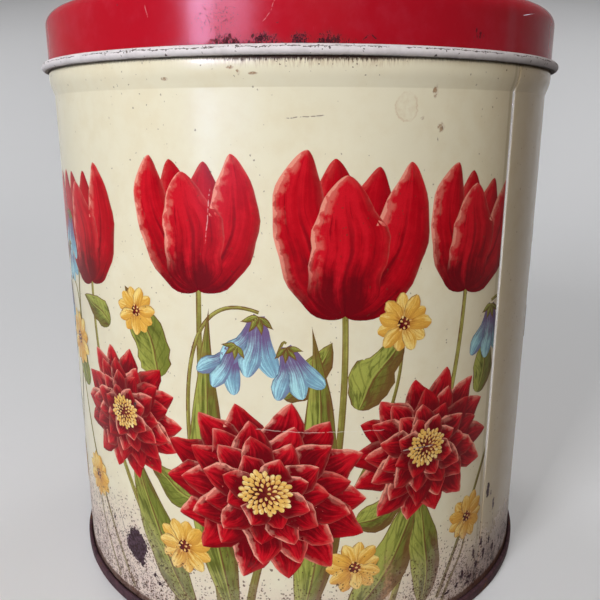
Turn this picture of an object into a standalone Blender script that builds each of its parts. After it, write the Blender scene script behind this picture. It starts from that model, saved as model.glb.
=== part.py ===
"""Round lidded tin box, in metres, +Z up, standing on its base with its axis on Z.

Three pieces of tinplate: the body wall, rolled from one sheet and closed by a lock seam down its
side; the base end, folded to the wall in a double seam; and the slip-on lid with its curled rim.
Each piece is drawn as the middle line of its sheet and then given the sheet's thickness.
"""

import math

import bmesh
import bpy

# Sheet
SHEET = 0.0003  # thickness of the tinplate
FOLD_GAP = 0.0002  # clearance between layers that are folded together

# Body wall
WALL_RADIUS = 0.080  # outside of the plain wall
WALL_HEIGHT = 0.1555  # from the table to the crease where the bead's taper starts
TAPER_HEIGHT = 0.0036
BEAD_STEP = 0.0012  # how far the bead stands out from the wall
BEAD_BAND = 0.0022  # upright band between the taper and the bead's shoulder
BEAD_RADIUS = 0.0020  # outside rounding of the bead's shoulder
CREASE_RADIUS = 0.0006
NECK_FILLET = 0.0008
MOUTH_CURL_RADIUS = 0.0011  # of the safe edge that is rolled inward at the mouth
MOUTH_CURL_SWEEP = 300  # degrees

# Lock seam down the side, where the sheet's two edges are hooked into each other
SEAM_ANGLE = -45  # degrees from +X
LOCK_WIDTH = 0.0030  # length of the hooks
LOCK_BEND = 0.0004
NOTCH_RISE = 0.0020  # height in which the inner layer comes back out below and above the hooks
NOTCH_CLEARANCE = 0.0010  # from the notched ends to the base panel and to the mouth's curl
BUTT_GAP = 0.0003  # slit where the hooks are notched away and the edges only meet

# Base end
SEAM_HEIGHT = 0.0034
SEAM_BEND = 0.0004
COUNTERSINK = 0.0044  # from the table to the underside of the base panel
PANEL_CORNER = 0.0010
BASE_BEAD_INSET = 0.01335  # from the countersink's wall in to the middle of the panel's bead
BASE_BEAD_WIDTH = 0.0050
BASE_BEAD_RISE = 0.0010

# Lid
LID_HEIGHT = 0.0169  # from the underside of its curl to its top
LID_CLEARANCE = 0.0004  # between the skirt and the neck
SKIRT_SETBACK = 0.0002  # the skirt's outside lies this far in from the bead's
LID_SHOULDER = 0.0040  # outside rounding between the skirt and the top
CURL_RADIUS = 0.00115
CURL_SWEEP = 300  # degrees
SEAT_GAP = 0.0003  # between the curl and the bead that it rests on
RIM_WIDTH = 0.0080  # flat rim inside the shoulder
STEP_WIDTH = 0.0024  # slope from the rim down to the panel
STEP_DEPTH = 0.0012

SIDES = 48  # facets around every round piece
MERGE = 0.00001

# Radii and heights of the middle lines, worked out from the sizes above
LAYER = SHEET + FOLD_GAP
WALL_LINE = WALL_RADIUS - SHEET / 2
BEAD_LINE = WALL_LINE + BEAD_STEP
BEAD_TOP = WALL_HEIGHT + TAPER_HEIGHT + BEAD_BAND
BEAD_CENTRE = BEAD_LINE + SHEET / 2 - BEAD_RADIUS
SKIRT_LINE = BEAD_LINE - SKIRT_SETBACK
NECK_LINE = SKIRT_LINE - SHEET - LID_CLEARANCE
CURL_LINE = SKIRT_LINE + CURL_RADIUS
CURL_OUTSIDE = CURL_RADIUS + SHEET / 2
SEAT_REACH = CURL_OUTSIDE + BEAD_RADIUS + SEAT_GAP
CURL_HEIGHT = BEAD_TOP + math.sqrt(SEAT_REACH**2 - (CURL_LINE - BEAD_CENTRE) ** 2)
LID_TOP = CURL_HEIGHT - CURL_OUTSIDE + LID_HEIGHT
MOUTH_CENTRE = LID_TOP - LID_SHOULDER
CHUCK_LINE = WALL_LINE - LAYER
SEAM_LINE = CHUCK_LINE + 4 * LAYER
PANEL_LINE = COUNTERSINK + SHEET / 2
LOCK_FOOT = PANEL_LINE + SHEET / 2 + NOTCH_CLEARANCE + NOTCH_RISE
LOCK_HEAD = MOUTH_CENTRE - MOUTH_CURL_RADIUS - SHEET / 2 - NOTCH_CLEARANCE - NOTCH_RISE


def arc(centre, height, radius, start, end, steps):
    """Points of an arc in the plane of a profile, with angles in degrees from outward to upward."""
    angles = [math.radians(start + (end - start) * i / steps) for i in range(steps + 1)]
    return [(centre + radius * math.cos(a), height + radius * math.sin(a)) for a in angles]


def rounded(before, corner, after, radius, steps):
    """An arc of this radius that takes the place of a corner between two straight lines."""
    into = math.atan2(corner[1] - before[1], corner[0] - before[0])
    out = math.atan2(after[1] - corner[1], after[0] - corner[0])
    turn = math.remainder(out - into, math.tau)
    reach = radius * math.tan(abs(turn) / 2)
    start = into - math.copysign(math.pi / 2, turn)
    first = (corner[0] - reach * math.cos(into), corner[1] - reach * math.sin(into))
    centre = (first[0] - radius * math.cos(start), first[1] - radius * math.sin(start))
    return arc(*centre, radius, math.degrees(start), math.degrees(start + turn), steps)


def body_profile():
    """Middle line of the wall, from the tip of its seam hook up to the end of the mouth's curl."""
    hook_line = WALL_LINE + 2 * LAYER
    hook_centre = SHEET / 2 + 2 * LAYER
    crease = (WALL_LINE, WALL_HEIGHT)
    taper_top = (BEAD_LINE, WALL_HEIGHT + TAPER_HEIGHT)
    shoulder = BEAD_RADIUS - SHEET / 2
    lean = math.acos((NECK_LINE + NECK_FILLET - BEAD_CENTRE) / (shoulder + NECK_FILLET))
    fillet_height = BEAD_TOP + (shoulder + NECK_FILLET) * math.sin(lean)
    lean = math.degrees(lean)

    points = [(hook_line, SEAM_HEIGHT - SHEET - FOLD_GAP)]
    points += arc(WALL_LINE + LAYER, hook_centre, LAYER, 0, -180, 3)
    points += [(WALL_LINE, LOCK_FOOT - NOTCH_RISE), (WALL_LINE, LOCK_FOOT)]
    points += rounded((WALL_LINE, 0), crease, taper_top, CREASE_RADIUS, 2)
    points += rounded(crease, taper_top, (BEAD_LINE, BEAD_TOP), BEAD_RADIUS, 1)
    points += arc(BEAD_CENTRE, BEAD_TOP, shoulder, 0, lean, 2)
    points += arc(NECK_LINE + NECK_FILLET, fillet_height, NECK_FILLET, 180 + lean, 180, 2)[1:]
    points += [(NECK_LINE, LOCK_HEAD), (NECK_LINE, LOCK_HEAD + NOTCH_RISE)]
    points += arc(
        NECK_LINE - MOUTH_CURL_RADIUS, MOUTH_CENTRE, MOUTH_CURL_RADIUS, 0, MOUTH_CURL_SWEEP, 7
    )
    return points


def lock_seam():
    """Middle lines of the sheet's two hooked edges, as seen from above.

    Each point is a distance along the wall from the seam and a level below the wall's surface.
    The under edge comes first: from the tip of its hook round and out to the plain wall.
    """
    bend_reach = 2 * LAYER + LOCK_BEND
    lean = math.asin((LAYER - LOCK_BEND) / bend_reach)
    bend_centre = bend_reach * math.cos(lean)
    lean = math.degrees(lean)
    under = [(0, -LAYER)]
    under += arc(-LOCK_WIDTH, -2 * LAYER, LAYER, 90, 270, 3)
    under += arc(0, -LAYER, 2 * LAYER, -90, lean, 3)
    under += arc(bend_centre, -LOCK_BEND, LOCK_BEND, 180 + lean, 90, 2)[1:]
    over = arc(0, -LAYER, LAYER, 90, -90, 3)
    over += [(-LOCK_WIDTH, -2 * LAYER)]
    return under, over


def base_profile():
    """Middle line of the base end, from the centre of its panel out to the tip of its seam hook."""
    hook_line = CHUCK_LINE + 2 * LAYER
    foot = SHEET / 2
    fold_centre = SEAM_HEIGHT - SHEET / 2 - LAYER
    bead_steps = 4
    points = [(0, PANEL_LINE)]
    for i in range(bead_steps + 1):
        share = i / bead_steps
        along = CHUCK_LINE - BASE_BEAD_INSET + BASE_BEAD_WIDTH * (share - 0.5)
        points += [(along, PANEL_LINE + BASE_BEAD_RISE * math.sin(math.pi * share) ** 2)]
    points += arc(CHUCK_LINE - PANEL_CORNER, PANEL_LINE - PANEL_CORNER, PANEL_CORNER, 90, 0, 3)
    points += arc(CHUCK_LINE + SEAM_BEND, foot + SEAM_BEND, SEAM_BEND, 180, 270, 2)
    points += arc(SEAM_LINE - SEAM_BEND, foot + SEAM_BEND, SEAM_BEND, 270, 360, 2)
    points += arc(hook_line + LAYER, fold_centre, LAYER, 0, 180, 3)
    points += [(hook_line, 2 * LAYER)]
    return points


def lid_profile():
    """Middle line of the lid, from the centre of its panel out and down to the end of its curl."""
    top = LID_TOP - SHEET / 2
    shoulder = LID_SHOULDER - SHEET / 2
    rim_inside = SKIRT_LINE - shoulder - RIM_WIDTH
    points = [(0, top - STEP_DEPTH), (rim_inside - STEP_WIDTH, top - STEP_DEPTH)]
    points += [(rim_inside - STEP_WIDTH / 2, top - STEP_DEPTH / 2), (rim_inside, top)]
    points += arc(SKIRT_LINE - shoulder, top - shoulder, shoulder, 90, 0, 4)
    points += arc(CURL_LINE, CURL_HEIGHT, CURL_RADIUS, 180, 180 + CURL_SWEEP, 9)
    return points


def paint(name, colour, roughness, metallic):
    """A plain Principled finish."""
    material = bpy.data.materials.new(name)
    material.use_nodes = True
    shader = material.node_tree.nodes["Principled BSDF"]
    shader.inputs["Base Color"].default_value = (*colour, 1)
    shader.inputs["Roughness"].default_value = roughness
    shader.inputs["Metallic"].default_value = metallic
    return material


def sheet_piece(name, mesh, material, collection):
    """A named piece of sheet: a middle surface whose modifiers end by giving it its thickness."""
    mesh.materials.append(material)
    piece = bpy.data.objects.new(name, mesh)
    collection.objects.link(piece)
    return piece


def add_thickness(piece):
    solid = piece.modifiers.new("Sheet", "SOLIDIFY")
    solid.thickness = SHEET
    solid.offset = 0
    solid.use_even_offset = True
    solid.use_quality_normals = True


def turned_sheet(name, profile, material, collection):
    """A piece drawn from a disc: its profile turned once about the tin's axis, from the seam on."""
    mesh = bpy.data.meshes.new(name)
    points = [(radius, 0, height) for radius, height in profile]
    mesh.from_pydata(points, [(i, i + 1) for i in range(len(points) - 1)], [])
    piece = sheet_piece(name, mesh, material, collection)
    piece.rotation_euler.z = math.radians(SEAM_ANGLE)
    turn = piece.modifiers.new("Turn", "SCREW")
    turn.steps = SIDES
    turn.render_steps = SIDES
    turn.use_merge_vertices = True
    turn.merge_threshold = MERGE
    turn.use_smooth_shade = True
    add_thickness(piece)


def surface_normals(profile):
    """The direction square to the profile at each point, outward where the profile runs up."""
    normals = []
    for i in range(len(profile)):
        before = profile[max(i - 1, 0)]
        after = profile[min(i + 1, len(profile) - 1)]
        run, climb = after[0] - before[0], after[1] - before[1]
        length = math.hypot(run, climb)
        normals.append((climb / length, -run / length))
    return normals


def wrapped_sheet(name, profile, material, collection):
    """The wall: one sheet rolled into a round, with its two edges hooked into each other.

    The hooks are notched away at the base and at the mouth, where the edges only meet.
    """
    under, over = lock_seam()
    first_level = under.index(min(under, key=lambda point: (point[1], -point[0])))
    facet = math.tau / SIDES
    around = [(facet * (i + 1) * WALL_LINE, 0) for i in range(SIDES - 1)]
    turn = math.tau * WALL_LINE
    columns = under + around + [(turn + along, level) for along, level in over]
    last_level = len(columns) - len(over)

    shell = bmesh.new()
    rows = []
    for (radius, height), (out, up) in zip(profile, surface_normals(profile)):
        hooked = LOCK_FOOT <= height <= LOCK_HEAD
        row = []
        for i, (along, level) in enumerate(columns):
            if not hooked:
                if not first_level <= i <= last_level:
                    row.append(None)
                    continue
                along = max(along, BUTT_GAP)
                level = 0
            angle = math.radians(SEAM_ANGLE) + along / WALL_LINE
            reach = radius + level * out
            corner = (reach * math.cos(angle), reach * math.sin(angle), height + level * up)
            row.append(shell.verts.new(corner))
        rows.append(row)
    for lower, upper in zip(rows, rows[1:]):
        for i in range(len(columns) - 1):
            corners = (lower[i], lower[i + 1], upper[i + 1], upper[i])
            if None not in corners:
                shell.faces.new(corners)
    mesh = bpy.data.meshes.new(name)
    shell.to_mesh(mesh)
    shell.free()
    mesh.shade_smooth()
    add_thickness(sheet_piece(name, mesh, material, collection))


def main():
    for old in list(bpy.data.objects):
        bpy.data.objects.remove(old)
    tin = bpy.data.collections.new("Round tin box")
    bpy.context.scene.collection.children.link(tin)

    cream = paint("cream_lacquer", (0.80, 0.74, 0.56), 0.35, 0.0)
    red = paint("red_lacquer", (0.52, 0.02, 0.03), 0.35, 0.0)
    rusty = paint("rusted_tinplate", (0.16, 0.07, 0.05), 0.75, 0.3)

    wrapped_sheet("body_wall", body_profile(), cream, tin)
    turned_sheet("base_end", base_profile(), rusty, tin)
    turned_sheet("lid", lid_profile(), red, tin)


main()
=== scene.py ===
"""Round lidded tin box: its lacquers, its printed flowers and its wear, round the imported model.

Lengths are in metres, unless a name or a comment gives millimetres. Angles round the tin start at
its front, which is -Y, and grow towards +X. A place on the wall is an arc length from the front
and a height above the table.
"""

import math
import random
from functools import cached_property
from types import SimpleNamespace

import bmesh
import bpy
from bpy.props import FloatProperty, FloatVectorProperty, IntProperty, PointerProperty
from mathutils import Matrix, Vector, noise


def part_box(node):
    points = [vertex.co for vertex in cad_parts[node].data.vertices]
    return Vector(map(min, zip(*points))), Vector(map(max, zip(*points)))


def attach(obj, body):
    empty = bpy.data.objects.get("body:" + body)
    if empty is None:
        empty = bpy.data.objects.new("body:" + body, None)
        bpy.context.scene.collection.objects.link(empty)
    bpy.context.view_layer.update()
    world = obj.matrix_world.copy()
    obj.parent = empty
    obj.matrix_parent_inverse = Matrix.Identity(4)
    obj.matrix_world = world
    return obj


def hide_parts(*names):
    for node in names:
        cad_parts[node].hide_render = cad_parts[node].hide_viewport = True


bl_info = {
    "name": "Round tin box",
    "version": (1, 0, 0),
    "blender": (4, 5, 0),
    "location": "3D View > Sidebar > Tin box",
    "description": "Builds the sheets, lacquers, printed flowers and wear of a round lidded tin",
    "category": "Add Mesh",
}

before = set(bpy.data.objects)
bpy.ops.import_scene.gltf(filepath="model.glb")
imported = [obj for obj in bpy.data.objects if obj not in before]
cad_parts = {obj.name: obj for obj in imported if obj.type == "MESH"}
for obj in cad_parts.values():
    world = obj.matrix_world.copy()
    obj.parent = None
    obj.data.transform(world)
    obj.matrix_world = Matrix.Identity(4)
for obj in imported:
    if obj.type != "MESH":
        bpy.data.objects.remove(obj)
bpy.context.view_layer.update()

MM = 0.001
FRONT_TURN = -math.pi / 2  # from +X to the front
SHARP_ANGLE = math.radians(32)
GOLDEN_ANGLE = math.radians(137.508)
ARC_STEP = 11  # degrees between the points of a profile's arc
WALL_PITCH = 6 * MM  # greatest distance between the points of a profile
LID_PITCH = 4 * MM
STEP_BEND = 1.6 * MM  # rounding at both ends of the slope inside the lid's rim
LAMP_AIM = Vector((0, 0, 0.11))  # where all lamps point
SENSOR_WIDTH = 36  # of the camera, in millimetres
COAT_IOR = 1.45
# Ripples of the sheets: length of the waves, and seed
WALL_RIPPLE = (34 * MM, 3)
FOOT_RIPPLE = (9 * MM, 11)
LID_RIPPLE = (26 * MM, 21)
TOP_RIPPLE = (40 * MM, 31)


def length(name, default, description):
    return FloatProperty(
        name=name, default=default, description=description, unit="LENGTH", precision=5, min=0
    )


def number(name, default, description):
    return FloatProperty(name=name, default=default, description=description)


def colour(name, default, description):
    return FloatVectorProperty(
        name=name, default=default, description=description, subtype="COLOR", min=0, max=1
    )


class TinSizes(bpy.types.PropertyGroup):
    """Sizes of the three sheets of tinplate."""

    sheet: length("Sheet", 0.3 * MM, "Thickness of the tinplate")
    fold_gap: length("Fold gap", 0.2 * MM, "Clearance between folded layers")
    wall_radius: length("Wall radius", 80 * MM, "Outside of the plain wall")
    wall_height: length("Wall height", 155.5 * MM, "From the table to the crease under the bead")
    taper_height: length("Taper height", 3.6 * MM, "Height of the slope from the wall to the bead")
    bead_step: length("Bead step", 1.2 * MM, "How far the bead stands out from the wall")
    bead_band: length("Bead band", 2.2 * MM, "Upright band of the bead")
    bead_radius: length("Bead radius", 2.0 * MM, "Rounding of the bead's shoulder")
    bead_swell: length("Bead swell", 7.5 * MM, "Rounding between the slope and the bead")
    crease_radius: length("Crease radius", 0.6 * MM, "Rounding of the crease")
    neck_fillet: length("Neck fillet", 0.8 * MM, "Rounding between the bead and the neck")
    mouth_curl: length("Mouth curl", 1.1 * MM, "Radius of the edge rolled inward at the mouth")
    lock_width: length("Lock width", 3.0 * MM, "Length of the side seam's hooks")
    lock_bend: length("Lock bend", 0.4 * MM, "Bend radius beside the side seam")
    notch_rise: length("Notch rise", 2.0 * MM, "Height in which the inner layer comes back out")
    notch_clearance: length("Notch clearance", 1.0 * MM, "From the notches to panel and curl")
    butt_gap: length("Butt gap", 0.3 * MM, "Slit where the sheet's edges only meet")
    seam_height: length("Seam height", 3.4 * MM, "Height of the base's double seam")
    seam_bend: length("Seam bend", 0.4 * MM, "Bend radius at the foot of the double seam")
    countersink: length("Countersink", 4.4 * MM, "From the table to the underside of the base panel")
    panel_corner: length("Panel corner", 1.0 * MM, "Rounding at the edge of the base panel")
    base_bead_inset: length("Base bead inset", 13.35 * MM, "From the countersink to the panel's bead")
    base_bead_width: length("Base bead width", 5.0 * MM, "Width of the base panel's bead")
    base_bead_rise: length("Base bead rise", 1.0 * MM, "Height of the base panel's bead")
    lid_clearance: length("Lid clearance", 0.4 * MM, "Between the skirt and the neck")
    skirt_setback: length("Skirt setback", 0.2 * MM, "How far the skirt lies inside the bead")
    lid_shoulder: length("Lid shoulder", 4.0 * MM, "Rounding between the skirt and the top")
    curl_radius: length("Curl radius", 1.10 * MM, "Middle radius of the lid's curl")
    seat_gap: length("Seat gap", 0.3 * MM, "Between the curl and the bead that it rests on")
    rim_width: length("Rim width", 8.0 * MM, "Flat rim inside the lid's shoulder")
    step_width: length("Step width", 2.4 * MM, "Slope from the lid's rim down to its panel")
    step_depth: length("Step depth", 1.2 * MM, "How deep the lid's panel lies")
    wall_wave: length("Wall wave", 0.045 * MM, "How far the wall strays from a true round")
    lid_wave: length("Lid wave", 0.030 * MM, "How far the lid strays from a true round")
    foot_dent: length("Foot dent", 0.13 * MM, "Depth of the small dents round the foot")
    top_slack: length("Top slack", 0.25 * MM, "How far the lid's panel strays from flat")
    seam_angle: FloatProperty(
        name="Seam angle", default=math.radians(45), subtype="ANGLE", description="Of the side seam"
    )
    curl_sweep: FloatProperty(
        name="Curl sweep", default=math.radians(300), subtype="ANGLE", description="Of both curls"
    )
    sides: IntProperty(name="Sides", default=240, min=24, description="Facets round the tin")


class TinColours(bpy.types.PropertyGroup):
    """Colours of the lacquers, the inks, what age has left on them, and a painted shade."""

    cream: colour("Cream", (0.79, 0.74, 0.57), "Lacquer of the wall")
    yellowed: colour("Yellowing", (0.80, 0.68, 0.50), "Stain of age over the wall's lacquer")
    film: colour("Film", (0.72, 0.585, 0.56), "Pinkish film of grime above the base")
    # Painted shade: this brown tone right of the side seam stands in for shade and dark reflections there
    seam_side_shade: colour("Age beside the seam", (0.62, 0.51, 0.43), "Stain over the wall's lacquer there")
    red: colour("Red", (0.47, 0.006, 0.018), "Lacquer of the lid")
    red_worn: colour("Worn red", (0.52, 0.030, 0.055), "Where the lid's lacquer is rubbed")
    white: colour("White", (0.77, 0.725, 0.745), "Coat of the lid's inside and of its curl")
    tinplate: colour("Tinplate", (0.50, 0.48, 0.44), "Bare metal inside")
    grime: colour("Grime", (0.46, 0.33, 0.28), "Brown film above the base")
    rust: colour("Rust", (0.15, 0.060, 0.028), "Fresh rust")
    old_rust: colour("Old rust", (0.030, 0.014, 0.012), "Old rust and dirt")
    chip: colour("Chip", (0.085, 0.048, 0.060), "Metal laid bare long ago")


class PrintSizes(bpy.types.PropertyGroup):
    """Sizes and layout of the printed flowers."""

    repeats: IntProperty(name="Repeats", default=3, min=1, description="Times the design is printed")
    seam_side: length("Seam side", 62.4 * MM, "Arc length from the front to the print's cut edge")
    bare_margin: length("Bare margin", 38 * MM, "Unprinted width beyond the cut edge")
    lift: length("Lift", 0.014 * MM, "Thickness of the first ink above the wall")
    ink: length("Ink", 0.008 * MM, "Thickness of each further ink")
    mesh_step: length("Mesh step", 1.9 * MM, "Length of the facets that follow the wall")


class StageSizes(bpy.types.PropertyGroup):
    """Camera, lamps and floor."""

    camera_distance: length("Camera distance", 242.5 * MM, "From the tin's axis")
    camera_height: length("Camera height", 147.4 * MM, "Above the table")
    camera_pitch: FloatProperty(
        name="Camera pitch", default=math.radians(14.78), subtype="ANGLE", description="Down"
    )
    lens: number("Lens", 40.25, "Focal length in millimetres for a sensor 36 mm wide")
    key_power: number("Key power", 10.6, "Watts of the tall soft lamp at the left")
    fill_power: number("Fill power", 4.6, "Watts of the soft lamp in front")
    back_power: number("Back power", 4.5, "Watts of each of the two soft lamps behind")
    top_power: number("Top power", 1.8, "Watts of the soft lamp above")
    window_power: number("Window power", 37.0, "Watts of the tall window that only reflections show")
    side_power: number("Side power", 19.0, "Watts of the weaker window beside it")
    room_light: number("Room light", 0.03, "Strength of the even light from all round")
    floor_radius: length("Floor radius", 1.6, "Of the floor and the backdrop round it")
    floor_tone: colour("Floor tone", (0.80, 0.80, 0.81), "Of the floor and the backdrop")


class Lines:
    """Radii and heights of the sheets' middle lines, worked out from the sizes."""

    def __init__(self, size):
        self.layer = size.sheet + size.fold_gap
        self.wall = size.wall_radius - size.sheet / 2
        self.bead = self.wall + size.bead_step
        self.bead_top = size.wall_height + size.taper_height + size.bead_band
        self.bead_centre = self.bead + size.sheet / 2 - size.bead_radius
        self.skirt = self.bead - size.skirt_setback
        self.neck = self.skirt - size.sheet - size.lid_clearance
        self.curl = self.skirt + size.curl_radius
        curl_outside = size.curl_radius + size.sheet / 2
        seat_reach = curl_outside + size.bead_radius + size.seat_gap
        seat_run = self.curl - self.bead_centre
        self.curl_height = self.bead_top + math.sqrt(seat_reach**2 - seat_run**2)
        self.lid_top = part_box("lid")[1].z
        self.mouth_centre = self.lid_top - size.lid_shoulder
        self.chuck = self.wall - self.layer
        self.seam = self.chuck + 4 * self.layer
        self.panel = size.countersink + size.sheet / 2
        self.lock_foot = self.panel + size.sheet / 2 + size.notch_clearance + size.notch_rise
        mouth_foot = self.mouth_centre - size.mouth_curl - size.sheet / 2
        self.lock_head = mouth_foot - size.notch_clearance - size.notch_rise


def arc(centre, height, radius, start, end):
    """Points of a profile's arc, with angles in degrees from outward to upward."""
    steps = max(2, math.ceil(abs(end - start) / ARC_STEP))
    angles = [math.radians(start + (end - start) * i / steps) for i in range(steps + 1)]
    return [(centre + radius * math.cos(a), height + radius * math.sin(a)) for a in angles]


def rounded(before, corner, after, radius):
    """An arc of this radius that takes the place of a corner between two straight lines."""
    into = math.atan2(corner[1] - before[1], corner[0] - before[0])
    out = math.atan2(after[1] - corner[1], after[0] - corner[0])
    turn = math.remainder(out - into, math.tau)
    reach = radius * math.tan(abs(turn) / 2)
    start = into - math.copysign(math.pi / 2, turn)
    first = (corner[0] - reach * math.cos(into), corner[1] - reach * math.sin(into))
    centre = (first[0] - radius * math.cos(start), first[1] - radius * math.sin(start))
    return arc(*centre, radius, math.degrees(start), math.degrees(start + turn))


def filled(points, pitch):
    """The profile with more points on its long straight stretches, at most so far apart."""
    dense = [points[0]]
    for (r0, z0), (r1, z1) in zip(points, points[1:]):
        steps = max(1, math.ceil(math.hypot(r1 - r0, z1 - z0) / pitch))
        dense += [(r0 + (r1 - r0) * i / steps, z0 + (z1 - z0) * i / steps) for i in range(1, steps + 1)]
    return dense


def wall_profile(size, line):
    """Middle line of the wall, from the tip of its seam hook up to the end of the mouth's curl."""
    hook_line = line.wall + 2 * line.layer
    hook_centre = size.sheet / 2 + 2 * line.layer
    crease = (line.wall, size.wall_height)
    taper_top = (line.bead, size.wall_height + size.taper_height)
    shoulder = size.bead_radius - size.sheet / 2
    reach = shoulder + size.neck_fillet
    lean = math.acos((line.neck + size.neck_fillet - line.bead_centre) / reach)
    fillet_height = line.bead_top + reach * math.sin(lean)
    lean = math.degrees(lean)

    points = [(hook_line, size.seam_height - size.sheet - size.fold_gap)]
    points += arc(line.wall + line.layer, hook_centre, line.layer, 0, -180)
    points += [(line.wall, line.lock_foot - size.notch_rise), (line.wall, line.lock_foot)]
    points += rounded((line.wall, 0), crease, taper_top, size.crease_radius)
    points += rounded(crease, taper_top, (line.bead, line.bead_top), size.bead_swell)
    points += arc(line.bead_centre, line.bead_top, shoulder, 0, lean)
    points += arc(line.neck + size.neck_fillet, fillet_height, size.neck_fillet, 180 + lean, 180)[1:]
    points += [(line.neck, line.lock_head), (line.neck, line.lock_head + size.notch_rise)]
    sweep = math.degrees(size.curl_sweep)
    points += arc(line.neck - size.mouth_curl, line.mouth_centre, size.mouth_curl, 0, sweep)
    return filled(points, WALL_PITCH)


def lock_seam(size, line):
    """Middle lines of the sheet's two hooked edges from above: distance along the wall, level."""
    bend_reach = 2 * line.layer + size.lock_bend
    lean = math.asin((line.layer - size.lock_bend) / bend_reach)
    bend_centre = bend_reach * math.cos(lean)
    lean = math.degrees(lean)
    under = [(0, -line.layer)]
    under += arc(-size.lock_width, -2 * line.layer, line.layer, 90, 270)
    under += arc(0, -line.layer, 2 * line.layer, -90, lean)
    under += arc(bend_centre, -size.lock_bend, size.lock_bend, 180 + lean, 90)[1:]
    over = arc(0, -line.layer, line.layer, 90, -90)
    over += [(-size.lock_width, -2 * line.layer)]
    return under, over


def base_profile(size, line):
    """Middle line of the base end, from the tip of its seam hook to the centre of its panel."""
    hook_line = line.chuck + 2 * line.layer
    foot = size.sheet / 2
    fold_centre = size.seam_height - size.sheet / 2 - line.layer
    bead_steps = 12
    points = [(0, line.panel)]
    for i in range(bead_steps + 1):
        share = i / bead_steps
        along = line.chuck - size.base_bead_inset + size.base_bead_width * (share - 0.5)
        points += [(along, line.panel + size.base_bead_rise * math.sin(math.pi * share) ** 2)]
    corner = size.panel_corner
    points += arc(line.chuck - corner, line.panel - corner, corner, 90, 0)
    points += arc(line.chuck + size.seam_bend, foot + size.seam_bend, size.seam_bend, 180, 270)
    points += arc(line.seam - size.seam_bend, foot + size.seam_bend, size.seam_bend, 270, 360)
    points += arc(hook_line + line.layer, fold_centre, line.layer, 0, 180)
    points += [(hook_line, 2 * line.layer)]
    return filled(points, WALL_PITCH)[::-1]


def lid_profile(size, line):
    """Middle line of the lid, from the centre of its panel out and down to the end of its curl."""
    top = line.lid_top - size.sheet / 2
    shoulder = size.lid_shoulder - size.sheet / 2
    rim_inside = line.skirt - shoulder - size.rim_width
    half_step = size.step_width / 2
    slope_foot = (rim_inside - size.step_width, top - size.step_depth)
    slope_head = (rim_inside, top)
    points = [(0, top - size.step_depth)]
    points += rounded(points[0], slope_foot, slope_head, STEP_BEND)
    points += rounded(slope_foot, slope_head, (rim_inside + half_step, top), STEP_BEND)
    points += arc(line.skirt - shoulder, top - shoulder, shoulder, 90, 0)
    sweep = math.degrees(size.curl_sweep)
    points += arc(line.curl, line.curl_height, size.curl_radius, 180, 180 + sweep)
    return filled(points, LID_PITCH)


def surface_normals(profile):
    """The direction square to the profile at each point, outward where the profile runs up."""
    normals = []
    for i in range(len(profile)):
        before = profile[max(i - 1, 0)]
        after = profile[min(i + 1, len(profile) - 1)]
        run, climb = after[0] - before[0], after[1] - before[1]
        span = math.hypot(run, climb)
        normals.append((climb / span, -run / span))
    return normals


def ripple(angle, height, scale, seed):
    """Smooth noise from about -1 to 1 over the tin's surface, with waves of about this length."""
    size = bpy.context.scene.tin_sizes
    round_scale = size.wall_radius / scale
    spot = (round_scale * math.cos(angle), round_scale * math.sin(angle), height / scale + seed)
    return noise.noise(Vector(spot))


def wall_stray(angle, height):
    """How far the wall and the base seam stray outward from a true round at this place."""
    size = bpy.context.scene.tin_sizes
    stray = size.wall_wave * ripple(angle, height, *WALL_RIPPLE)
    foot_share = max(0, 1 - height / FOOT_RIPPLE[0])
    return stray + size.foot_dent * foot_share * ripple(angle, 0, *FOOT_RIPPLE)


def lid_stray(angle, height):
    """The same for the lid."""
    size = bpy.context.scene.tin_sizes
    return size.lid_wave * ripple(angle, height, *LID_RIPPLE)


def turned_mesh(name, profile, stray, sag=None):
    """A round of quads whose outside lies to the left of the profile."""
    size = bpy.context.scene.tin_sizes
    shell = bmesh.new()
    rings = []
    for radius, height in profile:
        if radius == 0:
            rings.append([shell.verts.new((0, 0, height))] * size.sides)
            continue
        ring = []
        for i in range(size.sides):
            angle = math.tau * i / size.sides + size.seam_angle
            reach = radius + stray(angle, height)
            drop = sag(radius, angle) if sag else 0
            turn = angle + FRONT_TURN
            ring.append(shell.verts.new((reach * math.cos(turn), reach * math.sin(turn), height + drop)))
        rings.append(ring)
    for first, second in zip(rings, rings[1:]):
        for i in range(size.sides):
            j = (i + 1) % size.sides
            shell.faces.new(dict.fromkeys((second[i], second[j], first[j], first[i])))
    return shell_mesh(name, shell)


def shell_mesh(name, shell):
    mesh = bpy.data.meshes.new(name)
    shell.to_mesh(mesh)
    shell.free()
    return mesh


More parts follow.
